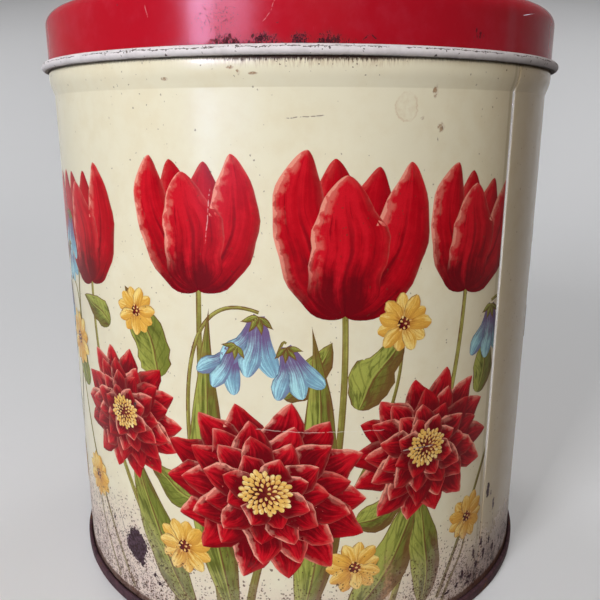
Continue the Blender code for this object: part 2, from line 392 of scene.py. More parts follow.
def wrapped_mesh(name, profile):
    """The wall: one sheet rolled into a round, with its two edges hooked into each other."""
    size = bpy.context.scene.tin_sizes
    line = Lines(size)
    under, over = lock_seam(size, line)
    first_level = under.index(min(under, key=lambda point: (point[1], -point[0])))
    facet = math.tau / size.sides * line.wall
    turn = math.tau * line.wall
    clear_of_bend = under[-1][0] + facet / 2
    around = [(facet * i, 0) for i in range(1, size.sides) if facet * i > clear_of_bend]
    columns = under + around + [(turn + along, level) for along, level in over]
    last_level = len(columns) - len(over)

    shell = bmesh.new()
    rows = []
    for (radius, height), (out, up) in zip(profile, surface_normals(profile)):
        hooked = line.lock_foot <= height <= line.lock_head
        row = []
        for i, (along, level) in enumerate(columns):
            if not hooked:
                if not first_level <= i <= last_level:
                    row.append(None)
                    continue
                along = max(along, size.butt_gap)
                level = 0
            angle = size.seam_angle + along / line.wall
            reach = radius + level * out + wall_stray(angle, height)
            spin = angle + FRONT_TURN
            corner = (reach * math.cos(spin), reach * math.sin(spin), height + level * up)
            row.append(shell.verts.new(corner))
        rows.append(row)
    for lower, upper in zip(rows, rows[1:]):
        for i in range(len(columns) - 1):
            corners = (lower[i], lower[i + 1], upper[i + 1], upper[i])
            if None not in corners:
                shell.faces.new(corners)
    return shell_mesh(name, shell)


def placed(name, data):
    """A new object in the scene."""
    made = bpy.data.objects.new(name, data)
    bpy.context.scene.collection.objects.link(made)
    return made


def sheet_piece(name, mesh, outside, inside):
    """A piece of sheet from its middle surface: given its thickness, and coated on both sides."""
    piece = placed(name, mesh)
    mesh.materials.append(outside)
    mesh.materials.append(inside)
    solid = piece.modifiers.new("Sheet", "SOLIDIFY")
    solid.thickness = bpy.context.scene.tin_sizes.sheet
    solid.offset = 0
    solid.use_even_offset = True
    solid.use_quality_normals = True
    solid.material_offset = 1
    bpy.context.view_layer.update()
    finished = piece.evaluated_get(bpy.context.evaluated_depsgraph_get())
    piece.data = bpy.data.meshes.new_from_object(finished)
    piece.modifiers.clear()
    piece.data.shade_smooth()
    piece.data.set_sharp_from_angle(angle=SHARP_ANGLE)
    return piece


class Value:
    """A number in a shader tree, which can be added, multiplied and so on like any other."""

    def __init__(self, shade, socket):
        self.shade = shade
        self.socket = socket

    def __add__(self, other):
        return self.shade.math("ADD", self, other)

    def __radd__(self, other):
        return self.shade.math("ADD", other, self)

    def __sub__(self, other):
        return self.shade.math("SUBTRACT", self, other)

    def __rsub__(self, other):
        return self.shade.math("SUBTRACT", other, self)

    def __mul__(self, other):
        return self.shade.math("MULTIPLY", self, other)

    def __rmul__(self, other):
        return self.shade.math("MULTIPLY", other, self)

    def __abs__(self):
        return self.shade.math("ABSOLUTE", self)


class Shading:
    """Adds nodes to a shader tree. Its methods return the value or colour that a node gives."""

    def __init__(self, tree):
        self.tree = tree

    def node(self, kind, feeds=(), **settings):
        made = self.tree.nodes.new(kind)
        for name, setting in settings.items():
            setattr(made, name, setting)
        for key, given in dict(feeds).items():
            self.feed(made.inputs[key], given)
        return made

    def feed(self, socket, given):
        if isinstance(given, Value):
            given = given.socket
        if isinstance(given, bpy.types.NodeSocket):
            self.tree.links.new(given, socket)
        elif socket.type == "RGBA":
            socket.default_value = (*given, 1)
        else:
            socket.default_value = given

    def math(self, operation, *terms):
        made = self.node("ShaderNodeMath", enumerate(terms), operation=operation)
        return Value(self, made.outputs[0])

    def largest(self, *terms):
        best = terms[0]
        for term in terms[1:]:
            best = self.math("MAXIMUM", best, term)
        return best

    def smooth(self, value, low, high):
        """0 below low and 1 above high, with a smooth step between, or the reverse if low > high."""
        feeds = {"Value": value, "From Min": low, "From Max": high}
        made = self.node("ShaderNodeMapRange", feeds, interpolation_type="SMOOTHSTEP")
        return Value(self, made.outputs["Result"])

    def between(self, value, start, full, ebb, end):
        """1 from full to ebb, and 0 before start and past end."""
        return self.smooth(value, start, full) * self.smooth(value, end, ebb)

    def band(self, value, middle, outer, inner):
        """1 as near to the middle as inner, and 0 as far from it as outer."""
        return self.smooth(abs(value - middle), outer, inner)

    @cached_property
    def place(self):
        """Where on the object the shaded point lies, in metres."""
        return self.node("ShaderNodeTexCoord").outputs["Object"]

    @cached_property
    def parts(self):
        """The place's x, y and z."""
        return self.node("ShaderNodeSeparateXYZ", {0: self.place}).outputs

    def unrolled(self, radius):
        """Arc length from the front and height of the place, in millimetres."""
        back = self.math("MULTIPLY", self.parts["Y"], -1.0)
        angle = self.math("ARCTAN2", self.parts["X"], back)
        return angle * (radius / MM), self.math("DIVIDE", self.parts["Z"], MM)

    def flat(self):
        """The place's x and y in millimetres."""
        return self.math("DIVIDE", self.parts["X"], MM), self.math("DIVIDE", self.parts["Y"], MM)

    def reach(self):
        """Distance of the place from the tin's axis, in millimetres."""
        flat = self.vector(self.parts["X"], self.parts["Y"])
        made = self.node("ShaderNodeVectorMath", {0: flat}, operation="LENGTH")
        return self.math("DIVIDE", made.outputs["Value"], MM)

    def scaled(self, place, size, tall=1.0):
        """A place measured in units of size, and so many times that along the height."""
        scale = (1 / size, 1 / size, 1 / (size * tall))
        return self.node("ShaderNodeVectorMath", {0: place, 1: scale}, operation="MULTIPLY").outputs[0]

    def vector(self, x, y, z=0.0):
        return self.node("ShaderNodeCombineXYZ", {"X": x, "Y": y, "Z": z}).outputs[0]

    def pattern(self, vector, detail=2.0, rough=0.5):
        """Noise from 0 to 1 over any vector."""
        feeds = {"Vector": vector, "Scale": 1.0, "Detail": detail, "Roughness": rough}
        return Value(self, self.node("ShaderNodeTexNoise", feeds).outputs[0])

    def cloud(self, size, tall=1.0, detail=2.0, rough=0.5):
        """Noise from 0 to 1 with blots of about this size in metres, and so many times as tall."""
        return self.pattern(self.scaled(self.place, size, tall), detail, rough)

    def shaken(self, size, reach):
        """The place, moved about by noise with blots of this size, by up to about this reach."""
        feeds = {"Vector": self.scaled(self.place, size), "Scale": 1.0, "Detail": 2.0}
        cloud = self.node("ShaderNodeTexNoise", feeds).outputs["Color"]
        centred = self.node("ShaderNodeVectorMath", {0: cloud, 1: (0.5,) * 3}, operation="SUBTRACT")
        moved = {0: centred.outputs[0], 1: (2 * reach,) * 3, 2: self.place}
        return self.node("ShaderNodeVectorMath", moved, operation="MULTIPLY_ADD").outputs[0]

    def specks(self, pitch, share, tall=1.0, width=0.2):
        """Ragged specks, one in each of this share of the cells of a grid of this pitch."""
        ragged = self.shaken(pitch * 0.4, pitch * 0.30)
        feeds = {"Vector": self.scaled(ragged, pitch, tall), "Scale": 1.0}
        cells = self.node("ShaderNodeTexVoronoi", feeds).outputs
        chance = self.node("ShaderNodeSeparateColor", {0: cells["Color"]}).outputs
        chosen = self.math("LESS_THAN", chance["Red"], share)
        reach = self.math("MULTIPLY", chance["Green"], width)
        inside = self.math("SUBTRACT", reach, cells["Distance"])
        return self.smooth(inside, 0.0, 0.07) * chosen

    def cracks(self, pitch, width):
        """A net of fine cracks round cells of this pitch."""
        ragged = self.shaken(pitch * 0.3, pitch * 0.25)
        feeds = {"Vector": self.scaled(ragged, pitch), "Scale": 1.0}
        net = self.node("ShaderNodeTexVoronoi", feeds, feature="DISTANCE_TO_EDGE").outputs["Distance"]
        return self.smooth(Value(self, net), width, width * 0.3)

    def hairs(self, along, height, lean, thin, long):
        """Noise drawn out into hairs that lean so many degrees, of this thickness and length in mm."""
        run, climb = math.cos(math.radians(lean)), math.sin(math.radians(lean))
        lengthwise = (along * run + height * climb) * (1 / long)
        sideways = (height * run - along * climb) * (1 / thin)
        return self.pattern(self.vector(lengthwise, sideways, lean * 0.7), detail=3, rough=0.6)

    def attributes(self, *names):
        """What the mesh's corners hold under these names."""
        kind = "ShaderNodeAttribute"
        made = [self.node(kind, attribute_name=name, attribute_type="GEOMETRY") for name in names]
        return [Value(self, one.outputs["Fac"]) for one in made]

    def mix(self, share, first, second, blend="MIX"):
        """The first colour where the share is 0, and the second where it is 1."""
        feeds = {0: share, 6: first, 7: second}
        return self.node("ShaderNodeMix", feeds, data_type="RGBA", blend_type=blend).outputs[2]

    def stained(self, share, coat, stain):
        """The coat's colour as seen through this share of a see-through stain."""
        return self.mix(share, coat, stain, "MULTIPLY")

    def darker(self, coat, factor):
        """The coat's colour multiplied by a value."""
        grey = self.node("ShaderNodeCombineColor", {0: factor, 1: factor, 2: factor}).outputs[0]
        return self.mix(1.0, coat, grey, "MULTIPLY")


def finish(name, build, mirror=0.18):
    """A material whose colour, roughness, metal and relief in millimetres come from build(shade)."""
    material = bpy.data.materials.new(name)
    material.use_nodes = True
    shader = material.node_tree.nodes["Principled BSDF"]
    shade = Shading(material.node_tree)
    made = build(shade)
    shade.feed(shader.inputs["Base Color"], made.colour)
    shade.feed(shader.inputs["Roughness"], made.roughness)
    shade.feed(shader.inputs["Metallic"], made.metal)
    shader.inputs["IOR"].default_value = COAT_IOR
    shader.inputs["Specular IOR Level"].default_value = mirror
    relief = shade.node("ShaderNodeBump", {"Height": made.relief, "Distance": MM, "Strength": 1.0})
    shade.feed(shader.inputs["Normal"], relief.outputs["Normal"])
    return material


# Flakes off the wall's coat: arc length and height of the middle, half width and half height, in mm.
# A half width below 0 turns the flake's left side to the right.
FLAKES = (
    (-54.4, 21.8, 5.2, 6.0), (-171.0, 18.5, 3.6, 4.4), (118.0, 23.0, -2.6, 3.0), (203.0, 12.5, -3.4, 3.6),
)
# Their outline from above: corners in shares of the half width and height, anticlockwise
FLAKE_OUTLINE = (
    (0.06, 1.0), (-0.42, 0.84), (-0.86, 0.2), (-1.0, -0.45), (-0.35, -0.74), (0.04, -1.0), (0.66, -0.80),
    (1.0, 0.2), (0.56, 0.82),
)
# Small chips, the same way as the flakes
CHIPS = (
    (-52.0, 16.8, 0.8, 1.6), (-50.1, 69.6, 0.4, 0.8), (-65.7, 27.4, 0.4, 1.2), (-46.4, 14.6, 1.1, 0.5),
    (66.4, 36.0, 0.9, 2.7), (71.1, 29.2, 0.7, 1.9), (-44.6, 12.2, 1.0, 0.6), (68.6, 34.0, 0.3, 1.2),
    (66.4, 13.6, 0.8, 1.7), (58.5, 8.8, 1.3, 0.7), (62.3, 11.4, 0.8, 1.3), (48.0, 7.9, 1.3, 0.5),
    (60.2, 16.2, 0.6, 1.9), (54.6, 11.6, 0.6, 1.6), (64.6, 18.6, 0.6, 1.6), (57.4, 6.9, 1.4, 0.5),
    (69.8, 16.4, 0.6, 1.5), (73.4, 12.4, 0.8, 1.4), (52.2, 8.4, 0.7, 0.9),
    (166.0, 64.0, 0.9, 2.1), (-139.0, 118.0, 0.7, 1.2), (-176.0, 13.0, 0.7, 1.3), (198.0, 7.5, 1.2, 0.6),
    (214.0, 137.0, 0.9, 0.7), (-112.0, 44.0, 0.6, 1.0), (-84.0, 12.0, 0.7, 1.4),
)
# Small brown spots, and the ring that a drop has left, the same way
SPOTS = (
    (33.8, 154.9, 0.6, 1.6), (35.9, 146.4, 1.0, 1.2), (30.4, 148.6, 0.4, 0.5), (-136.0, 139.0, 1.1, 1.6),
    (-16.0, 159.9, 0.9, 0.45), (-14.2, 158.7, 0.4, 0.7), (-10.6, 158.5, 1.0, 0.35), (-33.0, 157.6, 0.9, 0.4),
)
DROP_RING = (26.0, 150.7, 3.125, 3.704)
# Scratches on the wall: arc length and height of both ends, and half width, in mm
DARK_SCRATCHES = (
    (-3.5, 148.6, 5.9, 149.1, 0.11), (71.0, 26.5, 73.4, 18.0, 0.26), (62.8, 23.5, 65.2, 15.5, 0.24),
    (36.0, 147.2, 36.7, 145.6, 0.20), (35.0, 144.2, 35.3, 142.8, 0.16),
    (60.2, 17.5, 61.4, 12.4, 0.22), (67.8, 20.5, 68.8, 14.2, 0.24), (-62.4, 31.5, -60.0, 24.4, 0.18),
    (56.4, 14.8, 57.6, 9.2, 0.22), (53.0, 12.0, 54.2, 7.6, 0.18), (-47.2, 14.6, -43.0, 10.9, 0.14),
    (-145.0, 92.0, -128.0, 84.0, 0.12), (154.0, 128.0, 171.0, 133.0, 0.12), (-96.0, 33.0, -91.0, 14.0, 0.2),
)
PALE_SCRATCHES = (
    (-12.0, 68.9, 23.2, 67.6, 0.09), (-22.4, 132.0, -24.2, 118.0, 0.11), (-160.0, 52.0, -127.0, 57.0, 0.1),
    (131.0, 97.0, 150.0, 88.0, 0.12), (28.0, 60.5, 39.0, 60.1, 0.12), (-88.0, 96.0, -84.0, 71.0, 0.1),
)
# Marks on the lid's skirt, the same way
LID_PALE_SCRATCHES = (
    (-37.9, 174.4, -37.2, 171.2, 0.11), (-8.6, 169.4, -6.6, 171.6, 0.08), (-6.6, 171.6, -5.2, 175.6, 0.08),
    (-142.0, 171.0, -120.0, 168.5, 0.1), (148.0, 166.8, 171.0, 170.2, 0.1),
)
LID_DARK_SCRATCHES = (
    (14.2, 165.4, 16.2, 167.2, 0.17), (16.2, 167.2, 18.4, 165.4, 0.17), (45.0, 170.0, 45.3, 166.9, 0.30),
    (46.6, 169.4, 46.2, 167.0, 0.36), (44.2, 168.0, 44.5, 166.2, 0.24), (47.6, 168.6, 47.4, 167.2, 0.24),
)
# Freckles beside the lid's highlight: middle, half width and half height, in mm
FRECKLES = (-19.5, 170.8, 7.69, 4.545)
# Tufts of rust above the lid's curl: arc length of the middle, and half width, in mm
RUST_TUFTS = ((-17.2, 5.4), (-8.4, 5.6), (-0.2, 3.6), (6.8, 5.4), (-152.0, 8.0), (128.0, 7.0))
# Scratches on the lid's top: both ends in x and y, and half width, in mm
TOP_SCRATCHES = (
    (-46.0, 24.0, -25.0, 35.0, 0.16), (-40.0, 18.5, -31.0, 23.0, 0.11), (17.0, -33.0, 47.0, -25.0, 0.14),
    (28.0, -35.0, 37.0, -31.5, 0.10), (-27.0, -46.0, -23.0, -31.0, 0.12), (37.0, 25.0, 44.0, 23.5, 0.13),
    (-59.0, -9.0, -51.0, -14.5, 0.14),
)


def oval(along, height, middle, level, half_width, half_height):
    """How far a place is from the middle of an oval: 0 there, 1 on its outline, growing squared."""
    across, up = (along - middle) * (1 / half_width), (height - level) * (1 / half_height)
    return across * across + up * up


def flake(shade, along, height, middle, level, half_width, half_height):
    """1 inside the outline of a flake."""
    corners = [(middle + half_width * x, level + half_height * y) for x, y in FLAKE_OUTLINE]
    if half_width < 0:
        corners.reverse()
    inward = None
    for (x0, y0), (x1, y1) in zip(corners, corners[1:] + corners[:1]):
        span = math.dist((x0, y0), (x1, y1))
        run, climb = (x1 - x0) / span, (y1 - y0) / span
        side = height * run - along * climb + (x0 * climb - y0 * run)
        inward = side if inward is None else shade.math("MINIMUM", inward, side)
    return shade.smooth(inward, -0.06, 0.06)


def chip_marks(shade, along, height):
    """Bare places, 1 where the coat has gone: angular flakes and small chips with wavy edges."""
    jag = 2.6 * (shade.cloud(0.8 * MM, tall=1.6, detail=4, rough=0.7) - 0.5)
    slip = 3.2 * (shade.cloud(0.9 * MM, tall=1.3, detail=4, rough=0.7) - 0.5)
    found = [flake(shade, along + 1.9 * jag, height + 1.5 * slip, *marks) for marks in FLAKES]
    along, height = along + jag, height + slip
    found += [shade.smooth(oval(along, height, *marks), 1.15, 0.85) for marks in CHIPS]
    return shade.largest(*found)


def scratch_marks(shade, along, height, scratches):
    """Thin broken lines between the given ends."""
    wander = 0.9 * (shade.cloud(3.5 * MM, detail=3) - 0.5)
    broken = shade.smooth(shade.cloud(0.9 * MM, detail=3), 0.38, 0.52)
    found = []
    for from_along, from_height, to_along, to_height, half_width in scratches:
        run, climb = to_along - from_along, to_height - from_height
        span = math.hypot(run, climb)
        run, climb = run / span, climb / span
        side = along - (from_along + to_along) / 2
        up = height - (from_height + to_height) / 2
        off = abs(side * climb - up * run + wander)
        on = abs(side * run + up * climb)
        line = shade.smooth(off, half_width * 1.5, half_width * 0.4)
        found.append(line * shade.smooth(on, span / 2, span / 2 - 0.8))
    return shade.largest(*found) * broken


def wall_facts(shade, size, tint):
    """What all wear of the wall shares: colours, places in millimetres, noise and masks."""
    along, height = shade.unrolled(size.wall_radius)
    fine = shade.cloud(1.1 * MM, detail=3, rough=0.6)
    return SimpleNamespace(
        tint=tint,
        brown=shade.mix(fine, tint.rust, tint.old_rust),
        along=along,
        height=height,
        crease=size.wall_height / MM,
        bead_top=Lines(size).bead_top / MM,
        base_seam=size.seam_height / MM,
        side_seam=size.seam_angle * size.wall_radius / MM,
        broad=shade.cloud(30 * MM, detail=3),
        patchy=shade.cloud(6 * MM, detail=4, rough=0.6),
        fine=fine,
        grit=shade.cloud(0.42 * MM, detail=2, rough=0.6),
        streaks=shade.cloud(0.5 * MM, tall=7, detail=3, rough=0.65),
        sides=shade.smooth(abs(along), 30, 56),
        right_side=shade.between(along, 40, 60, 104, 124),
    )


def aged_and_shaded(shade, wall, coat):
    """The coat, darker and yellower in patches, with painted shade that yellows it more away from the front
    and browns it by the side seam.
    """
    coat = shade.darker(coat, 0.93 + 0.13 * wall.broad)
    patches = shade.smooth(wall.patchy + 0.6 * wall.broad, 0.62, 1.05) * 0.20
    # Painted shade: the yellowing grows from the front towards the right, where the light falls off
    coat = shade.stained(patches + shade.smooth(wall.along, 10, 60) * 0.22, coat, wall.tint.yellowed)
    # Painted shade and dark reflections: a brown tone right of the side seam
    painted_seam_shade = shade.between(wall.along, 44, 76, 104, 136)
    return shade.stained(painted_seam_shade * 0.82, coat, wall.tint.seam_side_shade)


def filmed(shade, wall, coat, veil):
    """The coat under a film of grime that thickens towards the base, how deep in it, and the film."""
    film_top = 27 + 11 * wall.sides - 11 * wall.right_side
    film_top = film_top + 16 * (wall.patchy - 0.5) + 14 * (wall.broad - 0.5)
    depth = shade.smooth(wall.height - film_top, 3, -22)
    film = depth * (0.62 + 0.34 * wall.sides + 0.9 * (wall.patchy - 0.5) + 0.5 * (wall.fine - 0.5))
    warmed = shade.stained(film * 0.6, coat, (0.82, 0.70, 0.72))
    return shade.mix(film * veil, warmed, wall.tint.film), depth, film


def peppered(shade, wall, coat, depth):
    """The coat with pepper spots, lone specks and fine cracks, and where the large spots are."""
    low = shade.smooth(wall.height, 25, 7)
    share = depth * (1 - 0.55 * wall.right_side) * (0.45 + 0.40 * wall.sides + 0.55 * low)
    share = share * (0.45 + 1.0 * shade.smooth(wall.patchy, 0.36, 0.62))
    large = shade.specks(1.15 * MM, 1.20 * share, width=0.44)
    small = shade.specks(0.60 * MM, 1.30 * share, width=0.64)
    dust = shade.smooth(wall.grit + 0.6 * (wall.fine - 0.5) + 0.15 * share, 0.78, 0.88) * share
    lone_share = 0.07 + 0.60 * shade.smooth(wall.broad + 0.6 * wall.patchy, 0.72, 0.92)
    lone = shade.specks(1.1 * MM, lone_share, tall=1.3, width=0.23)
    motes = shade.smooth(wall.grit + 0.5 * (wall.fine - 0.5), 0.80, 0.90)
    motes = motes * shade.smooth(wall.patchy + 0.5 * wall.broad, 0.74, 0.90)
    coat = shade.mix(shade.largest(dust * 0.5, motes * 0.45), coat, wall.brown)
    coat = shade.mix(small * 0.66, coat, wall.brown)
    coat = shade.mix(large * 0.84, coat, shade.mix(wall.grit, wall.tint.old_rust, wall.tint.rust))
    coat = shade.mix(lone * 0.58, coat, wall.brown)
    cracked = depth * (0.4 + 0.6 * wall.sides) + 0.9 * (wall.patchy - 0.5)
    crazed = shade.cracks(2.7 * MM, 0.055) * shade.smooth(wall.fine, 0.47, 0.57)
    crazed = crazed * shade.smooth(cracked, 0.34, 0.56)
    return shade.mix(crazed * 0.85, coat, wall.tint.old_rust), large


def rubbed(shade, wall, coat):
    """The coat with leaning hair scratches where a hand or a shelf has rubbed it near its foot."""
    along, height, patchy = wall.along, wall.height, wall.patchy
    behind = shade.smooth(wall.broad, 0.58, 0.66) * shade.smooth(abs(along), 96, 120)
    touched = shade.largest(shade.between(along, 40, 60, 92, 112), behind)
    touched = touched * shade.smooth(height + 16 * (patchy - 0.5) - 0.12 * (along - 70), 25, 10)
    scored = touched * shade.smooth(height + 12 * (patchy - 0.5), 20, 8)
    leaning = shade.hairs(along, height, 60, 0.50, 3.0)
    crossing = shade.hairs(along, height, 116, 0.34, 2.2)
    lean_hair = shade.smooth(leaning + 0.15 * scored, 0.64, 0.69)
    hair = shade.largest(lean_hair, shade.smooth(crossing + 0.10 * scored, 0.68, 0.73))
    toned = touched * (0.66 + 1.0 * (patchy - 0.5) + 0.7 * (leaning - 0.5))
    coat = shade.stained(toned, coat, (0.36, 0.28, 0.28))
    return shade.mix(hair * touched * shade.smooth(patchy, 0.44, 0.53), coat, wall.tint.old_rust)


def smeared(shade, wall, coat):
    """The coat with fine upright smears at its foot, and one rusty drip."""
    smear = shade.smooth(wall.streaks + 0.25 * wall.patchy, 0.70, 0.80)
    smear = smear * shade.smooth(wall.height + 9 * (wall.fine - 0.5), 19, 6)
    coat = shade.mix(smear * 0.50, coat, wall.brown)
    drip_line = 25.6 + 2.4 * (shade.cloud(5 * MM) - 0.5)
    drip = shade.band(wall.along, drip_line, 2.0, 0.5) * shade.smooth(wall.height, 33, 20)
    return shade.mix(drip * (0.10 + 0.65 * shade.smooth(wall.fine, 0.35, 0.7)), coat, (0.50, 0.28, 0.15))


def spotted(shade, wall, coat):
    """The coat with the ring that a drop has left, and small brown spots."""
    fine, patchy = wall.fine, wall.patchy
    ring_along = wall.along + 3.4 * (patchy - 0.5) + 1.4 * (fine - 0.5)
    ring_height = wall.height + 3.0 * (wall.broad - 0.5) + 1.4 * (fine - 0.5)
    reach = oval(ring_along, ring_height, *DROP_RING)
    ring = shade.band(reach, 0.84, 0.20, 0.02) * shade.smooth(patchy, 0.30, 0.54)
    inside = shade.smooth(reach, 1.0, 0.6) * shade.smooth(fine + 0.3 * patchy, 0.45, 0.90)
    coat = shade.mix(shade.largest(ring * 0.34, inside * 0.16), coat, (0.46, 0.24, 0.085))
    wavy_along = wall.along + 2.0 * (fine - 0.5)
    for marks in SPOTS:
        reach = oval(wavy_along, wall.height, *marks)
        spot = shade.smooth(reach, 1.5, 0.3) * (0.20 + 0.8 * shade.smooth(fine, 0.46, 0.58))
        coat = shade.mix(spot * 0.80, coat, (0.27, 0.125, 0.045))
    return coat


def rusted_and_shaded_under_lid(shade, wall, coat):
    """The coat with rust that creeps from under the lid, most at the front, and where that is. Its dark band
    right under the curl is partly painted shade.
    """
    heavy = shade.band(wall.along, 2, 30, 12)
    threads = shade.cloud(0.30 * MM, tall=9, detail=3, rough=0.7)
    fringe = wall.height - (wall.bead_top + 0.45) + 0.50 * heavy
    fringe = fringe + (1.3 + 1.1 * heavy) * (threads + 0.5 * wall.streaks - 0.70)
    # Rust, darkened right under the curl as painted shade of its overhang
    creep_and_shade = shade.smooth(fringe, -0.15, 0.70)
    haze = shade.smooth(fringe, -1.8, 0.4) * (0.08 + 0.36 * heavy) * shade.smooth(threads, 0.38, 0.62)
    near = shade.smooth(wall.height, wall.crease + 1.9, wall.bead_top + 0.7)
    specks = shade.specks(0.8 * MM, near * (0.14 + 0.5 * heavy), width=0.36)
    coat = shade.mix(haze, coat, (0.36, 0.20, 0.10))
    coat = shade.mix(specks * 0.75, coat, wall.brown)
    dark = shade.mix(0.5, wall.brown, wall.tint.old_rust)
    return shade.mix(creep_and_shade * (0.62 + 0.33 * heavy), coat, dark), creep_and_shade


def seamed(shade, wall, coat):
    """The coat with dirt above the base seam, a painted shadow beside the side seam, and its fold worn bare
    and partly painted as a highlight. Also gives where dirt and fold are.
    """
    corner = wall.height + 1.6 * (wall.fine - 0.5) - 1.4 * wall.sides * wall.patchy
    corner = shade.smooth(corner, wall.base_seam + 1.5, wall.base_seam + 0.5)
    coat = shade.mix(corner * 0.9, coat, wall.brown)
    # Painted shadow: a darker strip beside the side seam's step
    painted_seam_shadow = shade.band(wall.along, wall.side_seam - 1.4, 0.9, 0.2) * 0.40
    fold = shade.band(wall.along, wall.side_seam + 0.4, 0.95, 0.45)
    fold = fold * shade.smooth(wall.streaks + wall.fine, 0.50, 0.78)
    fold = fold * shade.between(wall.height, 30, 60, wall.crease - 0.5, wall.crease + 1.5)
    coat = shade.stained(painted_seam_shadow, coat, (0.50, 0.46, 0.40))
    # The fold is worn to bare metal; its near-white colour is also a painted highlight of its bend
    return shade.mix(fold * 0.95, coat, (0.92, 0.90, 0.88)), corner, fold


def scraped(shade, wall, coat):
    """The coat with its scratches, chips and flakes, and where the chips and dark scratches are."""
    chips = chip_marks(shade, wall.along, wall.height)
    dark = scratch_marks(shade, wall.along, wall.height, DARK_SCRATCHES)
    pale = scratch_marks(shade, wall.along, wall.height, PALE_SCRATCHES)
    old = shade.smooth(wall.fine + 0.4 * wall.grit, 0.50, 0.85)
    bare = shade.mix(old, wall.tint.chip, wall.tint.old_rust)
    rusty = shade.specks(0.9 * MM, 0.35, width=0.3)
    coat = shade.mix(pale * 0.50, coat, (0.80, 0.77, 0.70))
    coat = shade.mix(dark * 0.75, coat, wall.brown)
    return shade.mix(chips, coat, shade.mix(rusty * 0.5, bare, wall.tint.rust)), chips, dark


def uncoated_neck(shade, wall, coat):
    """The coat ends above the bead, on worn tinplate with rust stains. Also where those two are."""
    neck = shade.smooth(wall.height + 0.8 * (wall.fine - 0.5), wall.bead_top + 1.0, wall.bead_top + 1.4)
    stain = shade.smooth(wall.patchy + 0.35 * wall.streaks, 0.60, 0.92)
    rust = shade.mix(wall.fine, wall.tint.rust, wall.tint.grime)
    plate = shade.mix(stain * 0.8, wall.tint.tinplate, rust)
    return shade.mix(neck, coat, plate), neck, stain


def wear_and_shade_group(size, tint):
    """The wall's age and painted shade, for its lacquer and inks alike: colour in, and colour, gloss and
    relief out.
    """
    tree = bpy.data.node_groups.new("tin_wall_wear_and_shade", "ShaderNodeTree")
    for name, way, kind in (
        ("Colour", "INPUT", "Color"), ("Veil", "INPUT", "Float"), ("Colour", "OUTPUT", "Color"),
        ("Roughness", "OUTPUT", "Float"), ("Metal", "OUTPUT", "Float"), ("Relief", "OUTPUT", "Float"),
    ):
        tree.interface.new_socket(name, in_out=way, socket_type="NodeSocket" + kind)
    shade = Shading(tree)
    given = shade.node("NodeGroupInput").outputs
    wall = wall_facts(shade, size, tint)
    coat = aged_and_shaded(shade, wall, given["Colour"])
    coat, depth, film = filmed(shade, wall, coat, Value(shade, given["Veil"]))
    coat, large_spots = peppered(shade, wall, coat, depth)
    for worn_more in (rubbed, smeared, spotted):
        coat = worn_more(shade, wall, coat)
    coat, creep_and_shade = rusted_and_shaded_under_lid(shade, wall, coat)
    coat, corner, fold = seamed(shade, wall, coat)
    coat, chips, dark = scraped(shade, wall, coat)
    coat, neck, stain = uncoated_neck(shade, wall, coat)
    rusty = shade.largest(creep_and_shade, corner, chips, dark, large_spots * 0.7)
    relief = 0.010 * wall.broad - 0.030 * chips + 0.016 * rusty * wall.grit
    shade.node("NodeGroupOutput", {
        "Colour": coat,
        "Roughness": 0.16 + 0.08 * wall.patchy + 0.26 * film + 0.45 * rusty + 0.15 * neck,
        "Metal": shade.largest(neck * (1 - stain) * 0.8, fold * 0.8),
        "Relief": relief - 0.010 * dark + 0.0025 * wall.fine,
    })


def worn_and_shaded(shade, coat, veil=0.66):
    """The outputs of the wall's wear and painted shade group for this coat, under a film of grime at most
    this thick.
    """
    group = bpy.data.node_groups["tin_wall_wear_and_shade"]
    made = shade.node("ShaderNodeGroup", {"Colour": coat, "Veil": veil}, node_tree=group)
    outs = made.outputs
    return SimpleNamespace(
        colour=outs["Colour"], roughness=outs["Roughness"], metal=outs["Metal"], relief=outs["Relief"]
    )


def cream_lacquer(tint):
    return finish("cream_lacquer", lambda shade: worn_and_shaded(shade, tint.cream))


def bare_tinplate(tint):
    """Dull metal with rolling marks and light stains, as inside the wall."""

    def build(shade):
        rolling = shade.cloud(0.9 * MM, tall=14, detail=3)
        patchy = shade.cloud(14 * MM, detail=4, rough=0.6)
        fine = shade.cloud(0.9 * MM, detail=3, rough=0.6)
        stain = shade.smooth(patchy, 0.50, 0.74)
        spots = shade.specks(2.2 * MM, 0.20, width=0.26)
        plate = shade.darker(tint.tinplate, 0.80 + 0.30 * rolling)
        plate = shade.mix(stain * 0.55, plate, tint.grime)
        plate = shade.mix(spots * 0.85, plate, shade.mix(fine, tint.rust, tint.old_rust))
        return SimpleNamespace(
            colour=plate,
            roughness=0.34 + 0.16 * patchy + 0.30 * stain + 0.2 * spots,
            metal=0.85 - 0.6 * stain - 0.25 * spots,
            relief=0.004 * rolling + 0.006 * fine * stain + 0.008 * spots,
        )

    return finish("bare_tinplate", build, mirror=0.5)


def rubbed_shaded_red(shade, lid, tint):
    """The lid's red, paler where it is rubbed, and deeper on the right of its skirt as painted shade."""
    paler = shade.smooth(lid.patchy + 0.7 * lid.broad, 0.72, 1.15) * 0.40
    red = shade.mix(paler, tint.red, tint.red_worn)
    red = shade.darker(red, 0.88 + 0.18 * lid.broad + 0.06 * (lid.fine - 0.5))
    rub = shade.cloud(0.4 * MM, tall=6, detail=3, rough=0.7)
    red = shade.mix(shade.smooth(rub + 0.35 * lid.patchy, 0.82, 0.94) * 0.35, red, tint.red_worn)
    on_skirt = shade.smooth(lid.below_top, 2.36, 5.66)
    # Painted shade: the skirt's red darkens towards the right, where the light falls off
    painted_shade_right = 0.34 * shade.smooth(lid.along, -6, 22) + 0.22 * shade.smooth(lid.along, 36, 64)
    painted_shade_right = on_skirt * shade.smooth(lid.along, 150, 100) * painted_shade_right
    red = shade.stained(painted_shade_right, red, (0.55, 0.50, 0.55))
    dull_strip = on_skirt * shade.band(lid.along, 58.5, 3.4, 0.8) * 0.16
    return shade.mix(dull_strip, red, (0.30, 0.10, 0.12))


